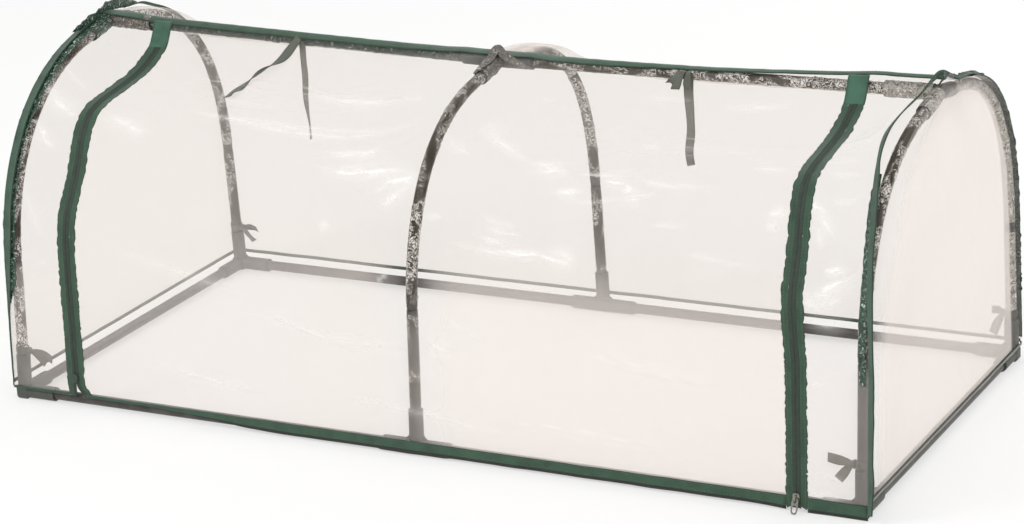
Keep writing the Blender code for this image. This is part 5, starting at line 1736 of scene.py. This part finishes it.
def wireMesh(name, points, radius, place):
    data = runTree(tubeSweep, name, [points], {"Radius": radius, "Sides": 10, "Material": nickelLook},
                   {"girth": [[1.0] * len(points)]})
    data.transform(place)
    return outwardFaces(data)


def zipFrame(endName, height):
    bottom = downAtHeight(tunnel["frontHemBottom"])
    low = Vector(onCover(zipX(endName, bottom), bottom, -1))
    high = Vector(onCover(zipX(endName, 1.0), 1.0, -1))
    up = (high - low).normalized()
    centre = low.lerp(high, (height - low.z) / (high.z - low.z))
    outward = Vector((1, 0, 0)).cross(up).normalized()
    right = up.cross(outward)
    return Matrix.Translation(centre) @ Matrix((right, up, outward)).transposed().to_4x4()


def bulged(value, power):
    return math.copysign(abs(value) ** power, value)


def pearOutline(width, length, count=28):
    # wide shoulders at the top where the coils come in apart, narrow tail below
    points = []
    for turn in np.linspace(0, 2 * math.pi, count, endpoint=False):
        wide = width / 2 * (0.74 + 0.26 * (0.5 + 0.5 * math.sin(turn)))
        points.append((bulged(math.cos(turn), 0.55) * wide, math.sin(turn) * length / 2))
    return points


def ovalOutline(width, top, bottom, power=0.75, count=26):
    middle, half = (top + bottom) / 2, (top - bottom) / 2
    return [(bulged(math.cos(turn), power) * width / 2, middle + bulged(math.sin(turn), power) * half)
            for turn in np.linspace(0, 2 * math.pi, count, endpoint=False)]


def zipFitting(endName, face, look):
    place = zipFrame(endName, fittings["sliderHeights"][endName])
    label = titled(endName)
    width, length, plate, edge = (fittings[key] for key in ("width", "length", "plate", "edge"))
    front = 0.0030
    outline = pearOutline(width, length)
    meshes = [plateMesh("top", [outline], plate, edge,
                        place @ Matrix.Translation((0, 0, front + plate / 2))),
              plateMesh("back", [pearOutline(width * 0.94, length * 0.96)], plate, edge,
                        place @ Matrix.Translation((0, 0, -0.0004 - plate / 2))),
              plateMesh("neck", [ovalOutline(0.0011, 0.0065, -0.0010)], front + 0.0014, 0.0002,
                        place @ Matrix.Translation((0, 0, front / 2)))]
    surface = front + plate if face > 0 else -0.0004 - plate
    bridgeX = 0.0 if face > 0 else (1 if endName == "left" else -1) * 0.0042
    half, rise = 0.0038, 0.0032
    bridge = [(bridgeX, y * half, surface + face * high) for y, high in (
        (-1, -0.0004), (-0.96, rise * 0.55), (-0.6, rise * 0.95), (0, rise), (0.6, rise * 0.95),
        (0.96, rise * 0.55), (1, -0.0004))]
    meshes.append(wireMesh("bridge", smoothPath(bridge, 4), 0.00075, place))
    data = joined(f"zipSlider{label}", meshes)
    data.set_sharp_from_angle(angle=math.radians(50))
    newPiece(f"zipSlider{label}", data, f"slider_{endName}", look, [f"zip_slider_{endName}"])
    hinge = place @ Vector((bridgeX, 0, surface + face * 0.0013))
    pullPlace = place.copy()
    pullPlace.translation = hinge
    pullPlace = pullPlace @ Matrix.Rotation(math.radians(-fittings["pullTilts"][endName]), 4, "X")
    bar = 0.0007
    pullWidth, pullLength = fittings["pullWidth"], fittings["pullLength"]
    outlines = [ovalOutline(pullWidth, bar, bar - pullLength, 0.62),
                ovalOutline(0.0034, -bar, -bar - 0.0052, 0.7),
                ovalOutline(pullWidth - 0.0040, -bar - 0.0052 - 0.0026, bar - pullLength + 0.0021, 0.8)]
    data = plateMesh(f"zipPull{label}", outlines, fittings["pullThickness"], 0.0003, pullPlace)
    data.shade_smooth()
    data.set_sharp_from_angle(angle=math.radians(50))
    newPiece(f"zipPull{label}", data, f"pull_{endName}", look, [f"zip_pull_{endName}"])


zipFitting("right", 1, nickelLook)
zipFitting("left", -1, darkZincLook)
print("zip fittings made")

# ---- stage, light and camera

stage = {"floorColour": "#F4F4F3", "wallBright": 1.0, "worldLight": 0.85, "floorLift": 0.55}


def paleFloor():
    size = 30
    data = bpy.data.meshes.new("floor")
    data.from_pydata([(-size, -size, 0), (size, -size, 0), (size, size, 0), (-size, size, 0)], [],
                     [(0, 1, 2, 3)])
    floor = bpy.data.objects.new("floor", data)
    scene.collection.objects.link(floor)
    made, tree, shader = newMaterial("paleFloor")
    dress(tree, shader, {"Base Color": hexColour(stage["floorColour"]), "Roughness": 0.9,
                         "Specular IOR Level": 0.1})
    light = addNode(tree, "ShaderNodeEmission", links={"Color": (1, 1, 1, 1), "Strength": 1.0})
    path = addNode(tree, "ShaderNodeLightPath").outputs
    seen = maths(tree, "MAXIMUM", path["Is Camera Ray"], path["Is Glossy Ray"])
    share = maths(tree, "MULTIPLY", seen, stage["floorLift"])
    dress(tree, tree.nodes["Material Output"], {
        "Surface": mixedShader(tree, share, shader.outputs[0], light.outputs[0])})
    data.materials.append(made)


def skyAndLamps():
    world = bpy.data.worlds.new("studio")
    scene.world = world
    world.use_nodes = True
    tree = world.node_tree
    path = addNode(tree, "ShaderNodeLightPath").outputs
    seen = maths(tree, "MAXIMUM", path["Is Camera Ray"], path["Is Transmission Ray"])
    dress(tree, tree.nodes["Background"], {
        "Color": (1, 1, 1, 1),
        "Strength": mapped(tree, seen, stage["worldLight"], stage["wallBright"])})
    for name, place, size, power in (
            ("keyLamp", (-1.6, -2.2, 2.6), 1.2, 32), ("fillLamp", (2.6, -1.2, 1.8), 1.6, 14),
            ("rearLamp", (0.4, 2.6, 2.2), 1.4, 14)):
        data = bpy.data.lights.new(name, "AREA")
        data.shape = "DISK"
        data.size = size
        data.energy = power
        lamp = bpy.data.objects.new(name, data)
        lamp.location = place
        lamp.rotation_euler = (Vector((0, 0, 0.2)) - Vector(place)).to_track_quat("-Z", "Y").to_euler()
        scene.collection.objects.link(lamp)


# the camera fitted to the photograph
photoView = {
    "angles": (27.57, 18.69, -3.05),      # azimuth, elevation and roll in degrees
    "place": (1.8504, -3.5376, 1.5152),
    "focalPixels": 3180.7,
    "widthPixels": 1024,
    "sensorWidth": 36,
}


def photoCamera():
    azimuth, elevation, roll = (math.radians(angle) for angle in photoView["angles"])
    back = Vector((math.sin(azimuth) * math.cos(elevation), -math.cos(azimuth) * math.cos(elevation),
                   math.sin(elevation)))
    right = (-back).cross(Vector((0, 0, 1))).normalized()
    up = right.cross(-back)
    turned = right * math.cos(roll) + up * math.sin(roll)
    upright = up * math.cos(roll) - right * math.sin(roll)
    data = bpy.data.cameras.new("photoCamera")
    data.sensor_width = photoView["sensorWidth"]
    data.lens = photoView["focalPixels"] / photoView["widthPixels"] * photoView["sensorWidth"]
    data.clip_end = 60
    camera = bpy.data.objects.new("photoCamera", data)
    camera.matrix_world = (Matrix.Translation(photoView["place"])
                           @ Matrix((turned, upright, back)).transposed().to_4x4())
    scene.collection.objects.link(camera)
    scene.camera = camera


paleFloor()
skyAndLamps()
photoCamera()
scene.view_settings.view_transform = "Standard"
scene.cycles.transparent_max_bounces = 32
print("stage and camera made")
